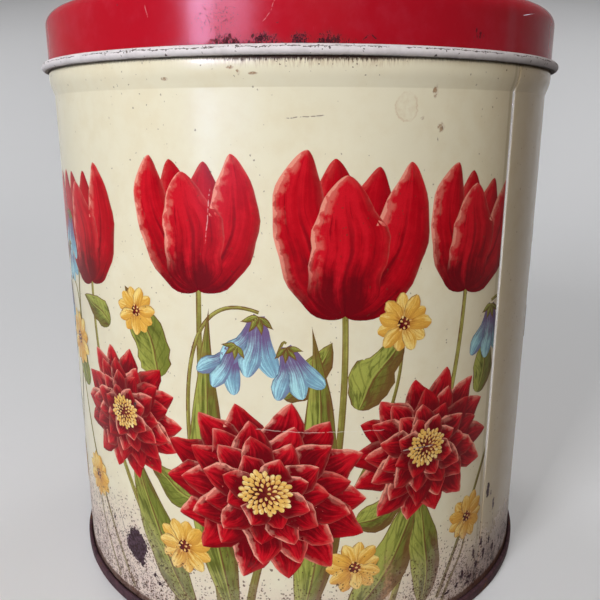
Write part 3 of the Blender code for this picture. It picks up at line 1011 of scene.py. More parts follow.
def curl_rust(shade, lid):
    """How thick the rust is that climbs from the curl, and its hairy clusters."""
    tufts = shade.largest(*(
        shade.smooth(abs(lid.along - middle + 5.0 * (lid.fine - 0.5)), half_width, 0.26 * half_width)
        for middle, half_width in RUST_TUFTS
    ))
    front = shade.between(lid.along, -38, -24, 12, 26)
    wisps = shade.cloud(0.30 * MM, tall=2.0, detail=4, rough=0.75)
    clumps = shade.cloud(1.8 * MM, detail=3, rough=0.65)
    climb = shade.smooth(lid.above_curl - 1.9 * tufts - 3.0 * (clumps - 0.5), 3.655, 0.055)
    thick = climb * shade.largest(0.32 + 0.40 * front, tufts * (0.35 + 1.1 * clumps))
    return thick, shade.smooth(wisps + 0.315 * thick, 0.70, 0.78)


def lid_scratches(shade, lid):
    """Dark and pale scratches on the lid's skirt, with the pale ones on its top."""
    dark = scratch_marks(shade, lid.along, lid.height, LID_DARK_SCRATCHES)
    pale = scratch_marks(shade, lid.along, lid.height, LID_PALE_SCRATCHES)
    across, ahead = shade.flat()
    on_top = shade.smooth(lid.below_top, 1.96, 1.56)
    return dark, shade.largest(pale, scratch_marks(shade, across, ahead, TOP_SCRATCHES) * on_top)


def red_lacquer(tint, line):
    """Glossy red lacquer on the outside of the lid, rubbed, scratched and rusty above the curl, with painted
    shade on the right of its skirt.
    """

    def build(shade):
        along, height = shade.unrolled(line.skirt)
        lid = SimpleNamespace(
            along=along,
            height=height,
            below_top=line.lid_top / MM - height,
            above_curl=height - line.curl_height / MM,
            broad=shade.cloud(24 * MM, detail=3),
            patchy=shade.cloud(5 * MM, detail=4, rough=0.6),
            fine=shade.cloud(1.0 * MM, detail=3, rough=0.6),
        )
        grit = shade.cloud(0.36 * MM, detail=2, rough=0.6)
        thick, hairy = curl_rust(shade, lid)
        dark, pale = lid_scratches(shade, lid)
        freckled = shade.cloud(0.42 * MM, detail=3, rough=0.6)
        freckled = freckled + 0.16 * shade.smooth(oval(along, height, *FRECKLES), 1.2, 0.1)
        freckles = shade.smooth(freckled, 0.72, 0.79)
        stray = shade.specks(2.6 * MM, 0.20, tall=1.3, width=0.11)
        rust = shade.largest(hairy, freckles * 0.75, stray * 0.8, dark * 0.9)
        crust = shade.mix(shade.smooth(lid.fine, 0.45, 0.7), (0.020, 0.006, 0.009), (0.060, 0.017, 0.014))
        red = shade.mix(thick * 0.35, rubbed_shaded_red(shade, lid, tint), (0.20, 0.02, 0.02))
        red = shade.mix(pale * 0.55, red, (0.66, 0.26, 0.28))
        return SimpleNamespace(
            colour=shade.mix(rust * 0.92, red, crust),
            roughness=0.17 + 0.08 * lid.patchy + 0.65 * rust + 0.12 * thick,
            metal=0.0,
            relief=0.004 * lid.broad + 0.0015 * lid.fine + 0.010 * rust * grit - 0.006 * pale,
        )

    return finish("red_lacquer", build, mirror=0.115)


def curl_marks(shade, line, reach, height, fine):
    """Cracks and flakes round the upper side of the curl, where its coat was stretched, and nicks."""
    turn = shade.math("ARCTAN2", height - line.curl_height / MM, reach - line.curl / MM)
    crack_turn = 0.45 + 1.3 * (shade.cloud(6 * MM, detail=4, rough=0.65) - 0.5)
    crack_at = shade.smooth(shade.cloud(9 * MM, detail=2), 0.38, 0.48)
    width = 0.08 + 0.24 * shade.smooth(fine, 0.44, 0.70)
    crack = shade.smooth(abs(turn - crack_turn), width, width * 0.35) * crack_at
    crack = crack * shade.smooth(shade.cloud(0.8 * MM, detail=3), 0.36, 0.46)
    flaked_share = 0.46 * crack_at * shade.band(turn, 0.5, 0.7, 0.1)
    flaked = shade.specks(0.8 * MM, flaked_share, width=0.5)
    nicks = shade.specks(1.5 * MM, 0.55, width=0.27)
    upper_hem = shade.smooth(turn + 0.9 * (fine - 0.5), 1.10, 1.60) * 0.75
    lower_hem = shade.smooth(turn + 0.5 * (fine - 0.5), -1.05, -1.45) * 0.65
    return shade.largest(crack * 0.92, flaked * 0.8, upper_hem, lower_hem), nicks


def white_lacquer(tint, line):
    """The worn white coat of the lid's inside, which also shows on its curl, with painted shade towards the
    right.
    """

    def build(shade):
        along, height = shade.unrolled(line.skirt)
        reach, skirt = shade.reach(), line.skirt / MM
        patchy = shade.cloud(5 * MM, detail=4, rough=0.6)
        fine = shade.cloud(1.0 * MM, detail=3, rough=0.6)
        grit = shade.cloud(0.33 * MM, detail=2, rough=0.6)
        # Darker towards the right as painted shade, and dirty in patches
        dirt_and_shade = shade.smooth(along, 30, 74) * 0.34 + shade.smooth(patchy, 0.48, 0.72) * 0.20
        white = shade.darker(tint.white, 0.88 + 0.22 * fine)
        white = shade.mix(dirt_and_shade * (0.6 + 0.8 * fine), white, (0.25, 0.225, 0.215))

        on_curl = shade.smooth(reach, skirt + 0.05, skirt + 0.35)
        marks, nicks = curl_marks(shade, line, reach, height, fine)
        marks = shade.largest(marks * on_curl, nicks * 0.85)
        crust = shade.mix(shade.smooth(fine, 0.45, 0.7), tint.old_rust, (0.10, 0.055, 0.04))
        white = shade.mix(marks, white, crust)

        # Inside the lid the coat has yellowed, with rust where the neck rubs
        inside = 1 - on_curl
        rusted = shade.smooth(reach, skirt - 3.85, skirt - 0.85)
        rusted = rusted * shade.smooth(patchy + 0.3 * fine, 0.50, 0.80) * inside
        white = shade.mix(inside * 0.35, white, (0.52, 0.42, 0.28))
        white = shade.mix(rusted * 0.8, white, shade.mix(fine, tint.rust, tint.old_rust))
        return SimpleNamespace(
            colour=white,
            roughness=0.58 + 0.12 * patchy + 0.3 * marks,
            metal=0.0,
            relief=0.003 * fine - 0.014 * marks + 0.006 * grit * marks,
        )

    return finish("white_lacquer", build, mirror=0.03)


def rusted_tinplate(tint, line):
    """The base: dark old rust with orange bloom, and a little metal left on the panel."""

    def build(shade):
        broad = shade.cloud(16 * MM, detail=4, rough=0.6)
        patchy = shade.cloud(3.2 * MM, detail=4, rough=0.65)
        grit = shade.cloud(0.5 * MM, detail=3, rough=0.7)
        maroon = shade.mix(shade.smooth(patchy, 0.35, 0.70), (0.088, 0.040, 0.045), (0.030, 0.016, 0.018))
        rust = shade.mix(shade.smooth(grit, 0.40, 0.65), tint.rust, (0.26, 0.11, 0.05))
        panel_edge = line.chuck / MM
        panel = shade.smooth(shade.reach(), panel_edge - 0.35, panel_edge - 3.35)
        bloom = shade.smooth(patchy + 0.6 * broad + 0.12 * panel, 0.88, 1.04)
        metal_left = shade.smooth(broad + 0.35 * patchy, 0.58, 0.72) * panel
        coat = shade.mix(bloom * 0.65, maroon, rust)
        return SimpleNamespace(
            colour=shade.mix(metal_left * 0.75, coat, tint.tinplate),
            roughness=0.66 - 0.22 * metal_left + 0.2 * (grit - 0.5),
            metal=0.7 * metal_left,
            relief=0.05 * patchy + 0.035 * grit,
        )

    return finish("rusted_tinplate", build, mirror=0.15)


# What each corner of a patch of ink holds: its share of the length, from -1 to 1 across, millimetres
# in from the edge, a number of the patch's own from 0 to 1, and how far it faces the light
CORNER_VALUES = ("along", "across", "edge", "tint", "lit")


def petal_ink(name, deep, body, light, rim, rim_width=0.5, streaks=5.0, fold=0.35, root=0.5):
    """Ink of a petal: dark at its root and on one side, streaked along it, with a brushed rim."""

    def build(shade):
        along, across, edge, tint, lit = shade.attributes(*CORNER_VALUES)
        lane = shade.vector(across * streaks + tint * 71.0, along * 1.6, tint * 37.0)
        streak = shade.pattern(lane, detail=5, rough=0.62)
        fine_lane = shade.vector(across * streaks * 4 + tint * 13.0, along * 2.4, tint * 51.0)
        hairline = shade.pattern(fine_lane, detail=3, rough=0.6)
        wash = shade.cloud(8 * MM, detail=3)
        blot = shade.cloud(2.4 * MM, detail=3, rough=0.6)
        grain = shade.cloud(0.30 * MM, detail=1)
        brushed = streak + 0.45 * (wash - 0.5) + 0.30 * (blot - 0.5)

        shine = shade.smooth(brushed + 0.25 * (along - 0.5) + 0.22 * lit + 0.25 * (tint - 0.5), 0.46, 0.78)
        ink = shade.mix(shine, body, light)
        shadow = shade.smooth(along + 0.9 * (brushed - 0.5), root, root - 0.45)
        side = shade.smooth(lit + 1.2 * (brushed - 0.5) + 0.3 * (tint - 0.5), -0.10, -0.95)
        stroke = shade.smooth(hairline + 0.5 * (brushed - 0.5), 0.40, 0.28) * 0.55
        ink = shade.mix(shade.largest(shadow * 0.90, side * fold, stroke), ink, deep)
        crease = shade.smooth(abs(across + 0.2 * (wash - 0.5)), 0.09, 0.02) * shade.smooth(along, 0.9, 0.4)
        ink = shade.mix(crease * fold, ink, deep)

        # The rim is brushed on, broader where the light falls, and each petal has its own strength of it
        brush = shade.smooth(shade.cloud(2.6 * MM, detail=3), 0.34, 0.62)
        reach = (brush * (0.35 + 0.80 * shade.smooth(lit, -0.5, 0.6)) + 0.12) * (1.7 * rim_width)
        feather = 0.5 * (shade.cloud(0.7 * MM, detail=3, rough=0.65) - 0.5)
        own = 0.15 + 0.85 * shade.smooth(tint + 0.8 * (wash - 0.5), 0.15, 0.60)
        strong = shade.smooth(along, 0.15, 0.5) * own
        strong = strong * (0.12 + 0.88 * shade.smooth(lit + 0.8 * (wash - 0.5), -0.45, 0.45))
        glow = shade.smooth(edge - reach + feather, 0.20, -0.14)
        fading = shade.smooth(edge - 2.4 * reach + 1.2 * (hairline - 0.5), 3.0 * rim_width, -1.4 * rim_width)
        ink = shade.mix(strong * fading * 0.36, ink, rim)
        ink = shade.mix(strong * glow * 0.85, ink, rim)
        ink = shade.darker(ink, 0.88 + 0.24 * grain)
        return worn_and_shaded(shade, ink, veil=0.30)

    return finish(name, build, mirror=0.09)


def leaf_ink(name, deep, body, light, tip):
    """Ink of a leaf: one half lit, a pale midrib, slanting veins and a brown-red shade and tip."""

    def build(shade):
        along, across, edge, tint, lit = shade.attributes(*CORNER_VALUES)
        blot = shade.cloud(6.0 * MM, detail=3)
        grain = shade.cloud(0.30 * MM, detail=1)
        lane = shade.vector(across * 3.0 + tint * 61.0, along * 5.0 - across * 2.0, tint * 29.0)
        streak = shade.pattern(lane, detail=5, rough=0.62)
        hair_lane = shade.vector(across * 16.0 + tint * 17.0, along * 9.0, tint * 43.0)
        hairline = shade.pattern(hair_lane, detail=3, rough=0.6)
        brushed = streak + 0.5 * (blot - 0.5)

        lit_half = shade.smooth(lit + 1.3 * (brushed - 0.5), -0.15, 0.45)
        ink = shade.mix(lit_half * 0.85, body, light)
        ink = shade.mix(shade.smooth(brushed, 0.52, 0.34) * 0.70, ink, deep)
        ink = shade.mix(shade.smooth(hairline, 0.42, 0.30) * 0.35, ink, deep)
        vein_phase = along * 52.0 - abs(across) * 12.0 + 3.0 * blot
        veins = shade.smooth(shade.math("SINE", vein_phase), 0.70, 0.98) * shade.smooth(edge, 0.2, 1.2)
        ink = shade.mix(veins * 0.40, ink, deep)

        # Brown-red shade on the dark half, at the tip and along the edge
        shaded = shade.smooth(lit + 1.4 * (brushed - 0.5) + 0.3 * (tint - 0.5), -0.15, -0.75)
        blush = shade.smooth(along + 0.8 * (blot - 0.5) + 0.3 * (tint - 0.5), 0.72, 1.0)
        hem = shade.smooth(edge + 0.9 * (blot - 0.5), 0.50, 0.10)
        ink = shade.mix(shade.largest(shaded * 0.70, blush * 0.75, hem * 0.80), ink, tip)
        midrib = shade.smooth(abs(across), 0.075, 0.03) * shade.smooth(along, 0.97, 0.75)
        ink = shade.mix(midrib * 0.70, ink, light)
        beside = shade.smooth(abs(across + 0.10), 0.07, 0.02) * shade.smooth(along, 0.97, 0.75)
        ink = shade.mix(beside * 0.70, ink, tip)
        ink = shade.darker(ink, 0.88 + 0.24 * grain)
        return worn_and_shaded(shade, ink, veil=0.30)

    return finish(name, build, mirror=0.09)


# Where the light of the print comes from: the upper left
PRINT_LIGHT = (-0.6, 0.8)
# The inks: their colours from dark to light and at the rim or tip, and how they are laid on
INKS = {
    "red_petal": dict(
        deep=(0.115, 0.0008, 0.004), body=(0.46, 0.0018, 0.009), light=(0.60, 0.007, 0.018),
        rim=(0.84, 0.34, 0.26), rim_width=0.50, fold=0.65,
    ),
    "red_ray": dict(
        deep=(0.110, 0.0008, 0.004), body=(0.45, 0.0018, 0.009), light=(0.60, 0.008, 0.018),
        rim=(0.84, 0.36, 0.27), rim_width=0.36, fold=0.8, root=0.95,
    ),
    "yellow_petal": dict(
        deep=(0.44, 0.14, 0.020), body=(0.76, 0.42, 0.070), light=(0.90, 0.70, 0.24),
        rim=(0.30, 0.09, 0.025), rim_width=0.12, streaks=4.0, fold=0.4,
    ),
    "blue_petal": dict(
        deep=(0.160, 0.075, 0.210), body=(0.20, 0.40, 0.54), light=(0.42, 0.74, 0.82),
        rim=(0.08, 0.12, 0.22), rim_width=0.14, streaks=6.0, fold=0.6, root=0.75,
    ),
    "floret": dict(
        deep=(0.50, 0.16, 0.02), body=(0.82, 0.52, 0.13), light=(0.92, 0.80, 0.42),
        rim=(0.36, 0.10, 0.02), rim_width=0.06, streaks=3.0, fold=0.4, root=0.35,
    ),
    "disc": dict(
        deep=(0.05, 0.003, 0.006), body=(0.13, 0.008, 0.010), light=(0.26, 0.040, 0.02),
        rim=(0.06, 0.01, 0.01), rim_width=0.2, streaks=3.0,
    ),
    "leaf": dict(
        deep=(0.080, 0.085, 0.014), body=(0.18, 0.205, 0.034), light=(0.41, 0.44, 0.095),
        tip=(0.165, 0.052, 0.024),
    ),
    "stem": dict(
        deep=(0.15, 0.060, 0.020), body=(0.22, 0.20, 0.042), light=(0.42, 0.40, 0.10),
        rim=(0.15, 0.045, 0.020), rim_width=0.16, streaks=2.0, fold=0.8, root=0.1,
    ),
}


def ink_material(ink):
    """The material of an ink, made when it is first asked for."""
    name = "ink_" + ink
    paint = leaf_ink if ink == "leaf" else petal_ink
    return bpy.data.materials.get(name) or paint(name, **INKS[ink])


class Patches:
    """Flat patches of ink on the unrolled wall, with what their shading needs at each corner."""

    def __init__(self):
        self.print = bpy.context.scene.tin_print
        self.shell = bmesh.new()
        layers = self.shell.verts.layers.float
        self.marks = [layers.new(name) for name in CORNER_VALUES]
        self.inks = []

    def ribbon(self, ink, spine, half_widths, layer, tint):
        """A patch that follows a spine of (place, direction), so wide on each side at each point."""
        if ink not in self.inks:
            self.inks.append(ink)
        strips = 2 * max(1, math.ceil(max(half_widths) / self.print.mesh_step))
        lift = self.print.lift + layer * self.print.ink
        reached = [0]
        for (spot, _), (after, _) in zip(spine, spine[1:]):
            reached.append(reached[-1] + math.dist(spot, after))
        rows = []
        for i, ((x, y), (ahead_x, ahead_y)) in enumerate(spine):
            half = half_widths[i]
            facing = ahead_x * PRINT_LIGHT[1] - ahead_y * PRINT_LIGHT[0]
            row = []
            for j in range(strips + 1):
                across = 2 * j / strips - 1
                spot = (x - ahead_y * half * across, y + ahead_x * half * across, lift)
                corner = self.shell.verts.new(spot)
                inside = half * (1 - abs(across)) / MM
                values = (reached[i] / reached[-1], across, inside, tint, across * facing)
                for mark, value in zip(self.marks, values):
                    corner[mark] = value
                row.append(corner)
            rows.append(row)
        for lower, upper in zip(rows, rows[1:]):
            for j in range(strips):
                face = self.shell.faces.new((lower[j], upper[j], upper[j + 1], lower[j + 1]))
                face.material_index = self.inks.index(ink)

    def petal(
        self, ink, root, heading, reach, width, outline, layer, tint, bend=0, ragged=0.05, onto=None
    ):
        """A petal or leaf. Heading and bend are in radians, and outline gives its width by share."""
        steps = max(8, math.ceil(1.25 * reach / self.print.mesh_step))
        shares = [(1 - math.cos(math.pi * i / steps)) / 2 for i in range(steps + 1)]
        spine, halves = [], []
        x, y = root
        for share, after in zip(shares, shares[1:] + [1]):
            turn = heading + bend * share
            ahead = (math.cos(turn), math.sin(turn))
            sway = ragged * width * math.sin(math.pi * share) * math.sin(8 * share + 60 * tint)
            wave = 1 + ragged * math.sin(13 * share + 40 * tint)
            wave += 0.7 * ragged * math.sin(27 * share + 90 * tint)
            spine.append(((x - ahead[1] * sway, y + ahead[0] * sway), ahead))
            halves.append(max(width / 2 * outline(share) * wave, 0.04 * MM))
            x += ahead[0] * reach * (after - share)
            y += ahead[1] * reach * (after - share)
        if onto:
            spine = [(onto(spot), ahead) for spot, ahead in spine]
        self.ribbon(ink, spine, halves, layer, tint)

    def piece(self, name):
        """Clips the print at its cut edges, wraps it round the wall and makes it a piece."""
        size = bpy.context.scene.tin_sizes
        cut_right = self.print.seam_side
        cut_left = cut_right + self.print.bare_margin - math.tau * size.wall_radius
        for cut, side in ((cut_right, 1), (cut_left, -1)):
            geometry = self.shell.verts[:] + self.shell.edges[:] + self.shell.faces[:]
            bmesh.ops.bisect_plane(
                self.shell, geom=geometry, plane_co=(cut, 0, 0), plane_no=(side, 0, 0), clear_outer=True
            )
        for corner in self.shell.verts:
            along, height, lift = corner.co
            angle = along / size.wall_radius
            reach = size.wall_radius + lift + wall_stray(angle, height)
            spin = angle + FRONT_TURN
            corner.co = (reach * math.cos(spin), reach * math.sin(spin), height)
        mesh = shell_mesh(name, self.shell)
        mesh.shade_smooth()
        for ink in self.inks:
            mesh.materials.append(ink_material(ink))
        piece = placed(name, mesh)
        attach(piece, "tin")


def pointed(share):
    """Half width of a pointed petal at a share of its length."""
    return math.sin(math.pi * share**0.80) ** 0.80


def rounded_tip(share):
    return math.sin(math.pi * min(share, 0.985) ** 1.5) ** 0.55


def lance(share):
    return math.sin(math.pi * share**0.75) ** 1.15


def toothed(share):
    """A leaf with blunt teeth."""
    tooth = 1 - (share * 9 % 1)
    return math.sin(math.pi * share**0.62) ** 0.9 * (0.82 + 0.22 * tooth)


def cup(share):
    """A tulip's petal: full low down, with a round foot and a short point."""
    foot = min(1, share / 0.16)
    return math.sin(math.pi * min(1, 0.10 + 0.90 * share) ** 0.9) ** 0.62 * math.sqrt(foot * (2 - foot))


def bell_lobe(share):
    """One side of a bell: it widens to its rim and ends in a point."""
    body = 0.42 + 0.58 * share**1.6
    tip = min(1, (1 - share) / 0.26)
    return body * math.sqrt(tip)


def curve(start, end, start_heading, end_heading, steps):
    """Points and directions of a smooth stem between two places with these headings."""
    span = math.dist(start, end)
    pull = span * 0.38
    a = (start[0] + pull * math.cos(start_heading), start[1] + pull * math.sin(start_heading))
    b = (end[0] - pull * math.cos(end_heading), end[1] - pull * math.sin(end_heading))
    spots = []
    for i in range(steps + 1):
        t = i / steps
        weights = ((1 - t) ** 3, 3 * t * (1 - t) ** 2, 3 * t * t * (1 - t), t**3)
        spots.append(tuple(sum(w * p[k] for w, p in zip(weights, (start, a, b, end))) for k in (0, 1)))
    spine = []
    for i, spot in enumerate(spots):
        before, after = spots[max(i - 1, 0)], spots[min(i + 1, steps)]
        run, climb = after[0] - before[0], after[1] - before[1]
        size = math.hypot(run, climb)
        spine.append((spot, (run / size, climb / size)))
    return spine


def upright(degrees):
    """A heading given in degrees from upright, leaning left where it is positive."""
    return math.radians(90 + degrees)


def on_wall(left, x, height):
    """A place of the design on the unrolled wall, in a repeat with this left edge."""
    return (left + x * MM, height * MM)


def round_disc(share):
    return math.sqrt(max(0, 1 - (2 * share - 1) ** 2))


# A dahlia's rings: number of petals, and how far they start, reach and spread in shares of the radius
RING_SHARES = (
    (14, 0.28, 1.00, 0.41), (13, 0.22, 0.81, 0.37), (11, 0.16, 0.62, 0.33), (8, 0.10, 0.43, 0.29),
)
# A tulip's petals: lean, share of the height in length and in width, bend, layer of ink, and tint
TULIP_PETALS = (
    (14, 0.96, 0.36, -10, 3, 0.05), (-13, 0.93, 0.36, 12, 4, 0.12),
    (46, 1.08, 0.40, -58, 5, 0.55), (-46, 1.06, 0.40, 58, 6, 0.75),
)
# A bellflower's lobes: lean, bend, layer of ink, and tint
BELL_LOBES = ((17, 20, 6, 0.3), (-17, -20, 7, 0.6), (0, 0, 8, 0.9))


def dahlia(patches, left, chance, x, height, radius, layer):
    """A full red flower seen a little from the side: four rings of petals round a gold disc."""
    centre, radius = on_wall(left, x, height), radius * MM
    tilt = math.radians(chance.uniform(-25, 25))
    squeeze = chance.uniform(0.86, 0.94)

    def onto(spot):
        x, y = spot
        along_tilt = x * math.cos(tilt) + y * math.sin(tilt)
        across_tilt = (y * math.cos(tilt) - x * math.sin(tilt)) * squeeze
        return (
            centre[0] + along_tilt * math.cos(tilt) - across_tilt * math.sin(tilt),
            centre[1] + along_tilt * math.sin(tilt) + across_tilt * math.cos(tilt),
        )

    for ring, (count, start, end, spread) in enumerate(RING_SHARES):
        for i in range(count):
            heading = math.tau * (i + 0.5 * (ring % 2)) / count + math.radians(chance.uniform(-3, 3))
            root = (start * radius * math.cos(heading), start * radius * math.sin(heading))
            reach = (end - start) * radius * chance.uniform(0.92, 1.05)
            bend = math.radians(chance.uniform(-14, 14))
            last_of_odd = count % 2 and i == count - 1
            patches.petal(
                "red_ray", root, heading - bend / 2, reach, spread * radius, pointed,
                layer + (2 if last_of_odd else i % 2), chance.random(), bend, 0.06, onto,
            )
        layer += 3
    disc = 0.205 * radius
    patches.petal("disc", (-disc, 0), 0, 2 * disc, 2 * disc, round_disc, layer, 0.5, onto=onto)
    florets = 64
    for i in range(florets):
        share = math.sqrt((i + 0.5) / florets)
        heading = i * GOLDEN_ANGLE
        start = disc * share * 0.92
        root = (start * math.cos(heading), start * math.sin(heading))
        reach = disc * (0.16 + 0.26 * share)
        patches.petal(
            "floret", root, heading, reach, reach * 0.62, rounded_tip, layer + 1 + i % 3,
            chance.random(), onto=onto,
        )


def tulip(patches, left, chance, x, height, lean, tall):
    """A red tulip from the side: two petals behind, two at the sides and one in front."""
    root, heading, tall = on_wall(left, x, height), upright(lean), tall * MM
    front = (3, 0.86, 0.50, chance.uniform(-8, 8), 7, 0.95)
    for lean, reach, width, bend, layer, tint in (*TULIP_PETALS, front):
        patches.petal(
            "red_petal", root, heading + math.radians(lean), reach * tall, width * tall, cup, layer,
            tint, math.radians(bend),
        )


def daisy(patches, left, chance, x, height, radius):
    """A small yellow flower with a brown eye."""
    centre, radius = on_wall(left, x, height), radius * MM
    count = 11
    spin = chance.uniform(0, math.tau)
    for i in range(count):
        heading = spin + math.tau * i / count
        reach = radius * chance.uniform(0.90, 1.06)
        layer = 13 + (i % 2 if i < count - 1 else 2)
        patches.petal(
            "yellow_petal", centre, heading, reach, radius * 0.52, rounded_tip, layer, chance.random()
        )
    eye = radius * 0.22
    patches.petal("disc", (centre[0] - eye, centre[1]), 0, 2 * eye, 2 * eye, round_disc, 16, 0.5)
    florets = 9
    for i in range(florets):
        heading = i * GOLDEN_ANGLE
        start = eye * math.sqrt(i / florets) * 0.9
        root = (centre[0] + start * math.cos(heading), centre[1] + start * math.sin(heading))
        patches.petal("floret", root, heading, eye * 0.5, eye * 0.4, rounded_tip, 17, chance.random())


def bellflower(patches, left, chance, x, height, lean, tall):
    """A blue bell that hangs from its root: three lobes and a few green sepals."""
    root, heading, tall = on_wall(left, x, height), upright(lean), tall * MM
    for lean, bend, layer, tint in BELL_LOBES:
        patches.petal(
            "blue_petal", root, heading + math.radians(lean), tall, tall * 0.44, bell_lobe, layer,
            tint, math.radians(bend),
        )
    for lean in (-60, -20, 20, 60):
        turn = heading + math.radians(lean)
        patches.petal("leaf", root, turn, tall * 0.30, tall * 0.11, lance, 9, chance.random())


def leaf(patches, left, chance, x, height, lean, reach, width, bend, outline, layer):
    root = on_wall(left, x, height)
    patches.petal(
        "leaf", root, upright(lean), reach * MM, width * MM, outline, layer, chance.random(),
        math.radians(bend),
    )


def stem(patches, left, chance, x, height, lean, end_x, end_height, end_lean, width):
    start, end = on_wall(left, x, height), on_wall(left, end_x, end_height)
    steps = max(6, math.ceil(math.dist(start, end) / patches.print.mesh_step))
    spine = curve(start, end, upright(lean), upright(end_lean), steps)
    halves = [width * MM / 2 * (1 - 0.35 * i / steps) for i in range(steps + 1)]
    patches.ribbon("stem", spine, halves, -1, chance.random())


# The design, in millimetres from the left edge of its repeat and from the table.
# Dahlias: middle, radius, and the lowest layer of their ink
DAHLIAS = ((37, 66, 23, 3), (129, 60, 24, 3), (83, 50, 30, 16))
# Tulips: foot of the flower, degrees from upright, and height
TULIPS = ((24, 103, 9, 34), (66, 106, 3, 35), (104, 100, -5, 41), (140, 104, -10, 33))
# Daisies: middle, and radius
DAISIES = ((120, 97, 8), (8, 82, 9), (58, 29, 9), (108, 26, 8), (17, 38, 8), (147, 32, 8), (45, 98, 7))
# Bellflowers: root, degrees from upright, and height
BELLS = (
    (82, 100, 168, 17), (89, 92, 196, 15), (76, 92, 150, 14),
    (152, 98, 175, 16), (8, 122, 170, 15), (3, 112, 200, 13),
)
# Leaves: root, degrees from upright, length, width, bend in degrees, outline, and layer of ink
LEAVES = (
    (74, 6, 14, 96, 13, -22, lance, 0), (92, 6, -12, 92, 13, 20, lance, 1),
    (62, 6, 36, 60, 13, -30, lance, 2), (104, 6, -40, 58, 13, 24, lance, 0),
    (130, 7, -8, 42, 11, 30, lance, 1), (52, 80, 12, 27, 14, 26, toothed, 2),
    (108, 74, -22, 25, 13, -24, toothed, 0), (15, 68, 40, 21, 11, -28, toothed, 1),
    (148, 72, -20, 20, 10, 30, toothed, 2), (88, 78, -52, 20, 11, 26, toothed, 0),
    (33, 92, 60, 17, 9, 24, toothed, 1), (64, 44, 74, 20, 11, -30, toothed, 2),
    (108, 40, -80, 18, 10, 26, toothed, 0),
)
# Stems: foot, degrees from upright there, head, degrees from upright there, and width at the foot
STEMS = (
    (78, 5, 4, 83, 40, -4, 2.8), (60, 5, 16, 38, 56, 18, 2.6), (104, 5, -20, 129, 50, -18, 2.6),
    (58, 5, 26, 24, 104, -4, 2.2), (70, 5, 6, 66, 107, -2, 2.3), (96, 5, -6, 104, 101, 2, 2.5),
    (118, 5, -14, 140, 105, -2, 2.2), (66, 30, 14, 82, 101, -110, 1.5), (70, 70, 10, 76, 93, -60, 1.0),
    (86, 88, -30, 89, 93, -150, 1.0), (100, 30, -14, 120, 92, 0, 1.4), (36, 6, 30, 8, 78, 6, 1.5),
    (54, 5, 10, 58, 24, -4, 1.4), (110, 5, 4, 108, 20, 2, 1.4), (28, 6, 30, 17, 32, 6, 1.3),
    (138, 5, -14, 147, 27, 0, 1.3), (136, 8, -24, 152, 99, 110, 1.5), (12, 84, 14, 8, 123, 100, 1.3),
    (6, 104, 30, 3, 113, 150, 1.0), (56, 60, 16, 45, 94, 6, 1.2),
)
# Pieces of the print in the order of printing: how each motif is drawn, its places, and its seed
MOTIFS = {
    "print_stems": (stem, STEMS, 60),
    "print_leaves": (leaf, LEAVES, 50),
    "print_bellflowers": (bellflower, BELLS, 40),
    "print_dahlias": (dahlia, DAHLIAS, 10),
    "print_tulips": (tulip, TULIPS, 20),
    "print_daisies": (daisy, DAISIES, 30),
}


def repeats(settings):
    """Left edge of each repeat of the design."""
    size = bpy.context.scene.tin_sizes
    printed = math.tau * size.wall_radius - settings.bare_margin
    width = printed / settings.repeats
    return [settings.seam_side - width * (i + 1) for i in range(settings.repeats)]


class TIN_OT_wall(bpy.types.Operator):
    """Rolls the wall, hooks its side seam and coats it"""

    bl_idname = "tin_box.wall"
    bl_label = "Wall"

    def execute(self, context):
        size, tint = context.scene.tin_sizes, context.scene.tin_colours
        wear_and_shade_group(size, tint)
        mesh = wrapped_mesh("body_wall_sheet", wall_profile(size, Lines(size)))
        piece = sheet_piece("body_wall_sheet", mesh, cream_lacquer(tint), bare_tinplate(tint))
        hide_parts("body_wall")
        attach(piece, "tin")
        return {"FINISHED"}


class TIN_OT_base(bpy.types.Operator):
    """Presses the base end and lets it rust"""

    bl_idname = "tin_box.base"
    bl_label = "Base end"

    def execute(self, context):
        size, tint = context.scene.tin_sizes, context.scene.tin_colours
        line = Lines(size)
        mesh = turned_mesh("base_end_sheet", base_profile(size, line), wall_stray)
        inside = bpy.data.materials["bare_tinplate"]
        piece = sheet_piece("base_end_sheet", mesh, rusted_tinplate(tint, line), inside)
        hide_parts("base_end")
        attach(piece, "tin")
        return {"FINISHED"}


class TIN_OT_lid(bpy.types.Operator):
    """Draws the lid, curls its edge and coats it"""

    bl_idname = "tin_box.lid"
    bl_label = "Lid"

    def execute(self, context):
        size, tint = context.scene.tin_sizes, context.scene.tin_colours
        line = Lines(size)
        rim_inside = line.skirt - size.lid_shoulder - size.rim_width

        def sag(radius, angle):
            share = max(0, 1 - radius / rim_inside)
            return size.top_slack * min(1, 3 * share) * (ripple(angle, radius, *TOP_RIPPLE) - 0.5)

        mesh = turned_mesh("lid_sheet", lid_profile(size, line), lid_stray, sag)
        piece = sheet_piece("lid_sheet", mesh, red_lacquer(tint, line), white_lacquer(tint, line))
        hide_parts("lid")
        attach(piece, "lid")
        return {"FINISHED"}


class TIN_OT_print(bpy.types.Operator):
    """Prints the stems, leaves and flowers on the wall"""

    bl_idname = "tin_box.print"
    bl_label = "Printed flowers"

    def execute(self, context):
        for name, (motif, places, seed) in MOTIFS.items():
            patches = Patches()
            for index, left in enumerate(repeats(patches.print)):
                chance = random.Random(seed + index)
                for place in places:
                    motif(patches, left, chance, *place)
            patches.piece(name)
        return {"FINISHED"}


class TIN_OT_stage(bpy.types.Operator):
    """Sets the floor, the light of the room, the lamps and the camera"""

    bl_idname = "tin_box.stage"
    bl_label = "Stage"

    def execute(self, context):
        settings = context.scene.tin_stage
        make_floor(settings)
        make_room(settings)
        make_lamps(settings)
        make_camera(settings)
        context.scene.view_settings.view_transform = "Standard"
        return {"FINISHED"}


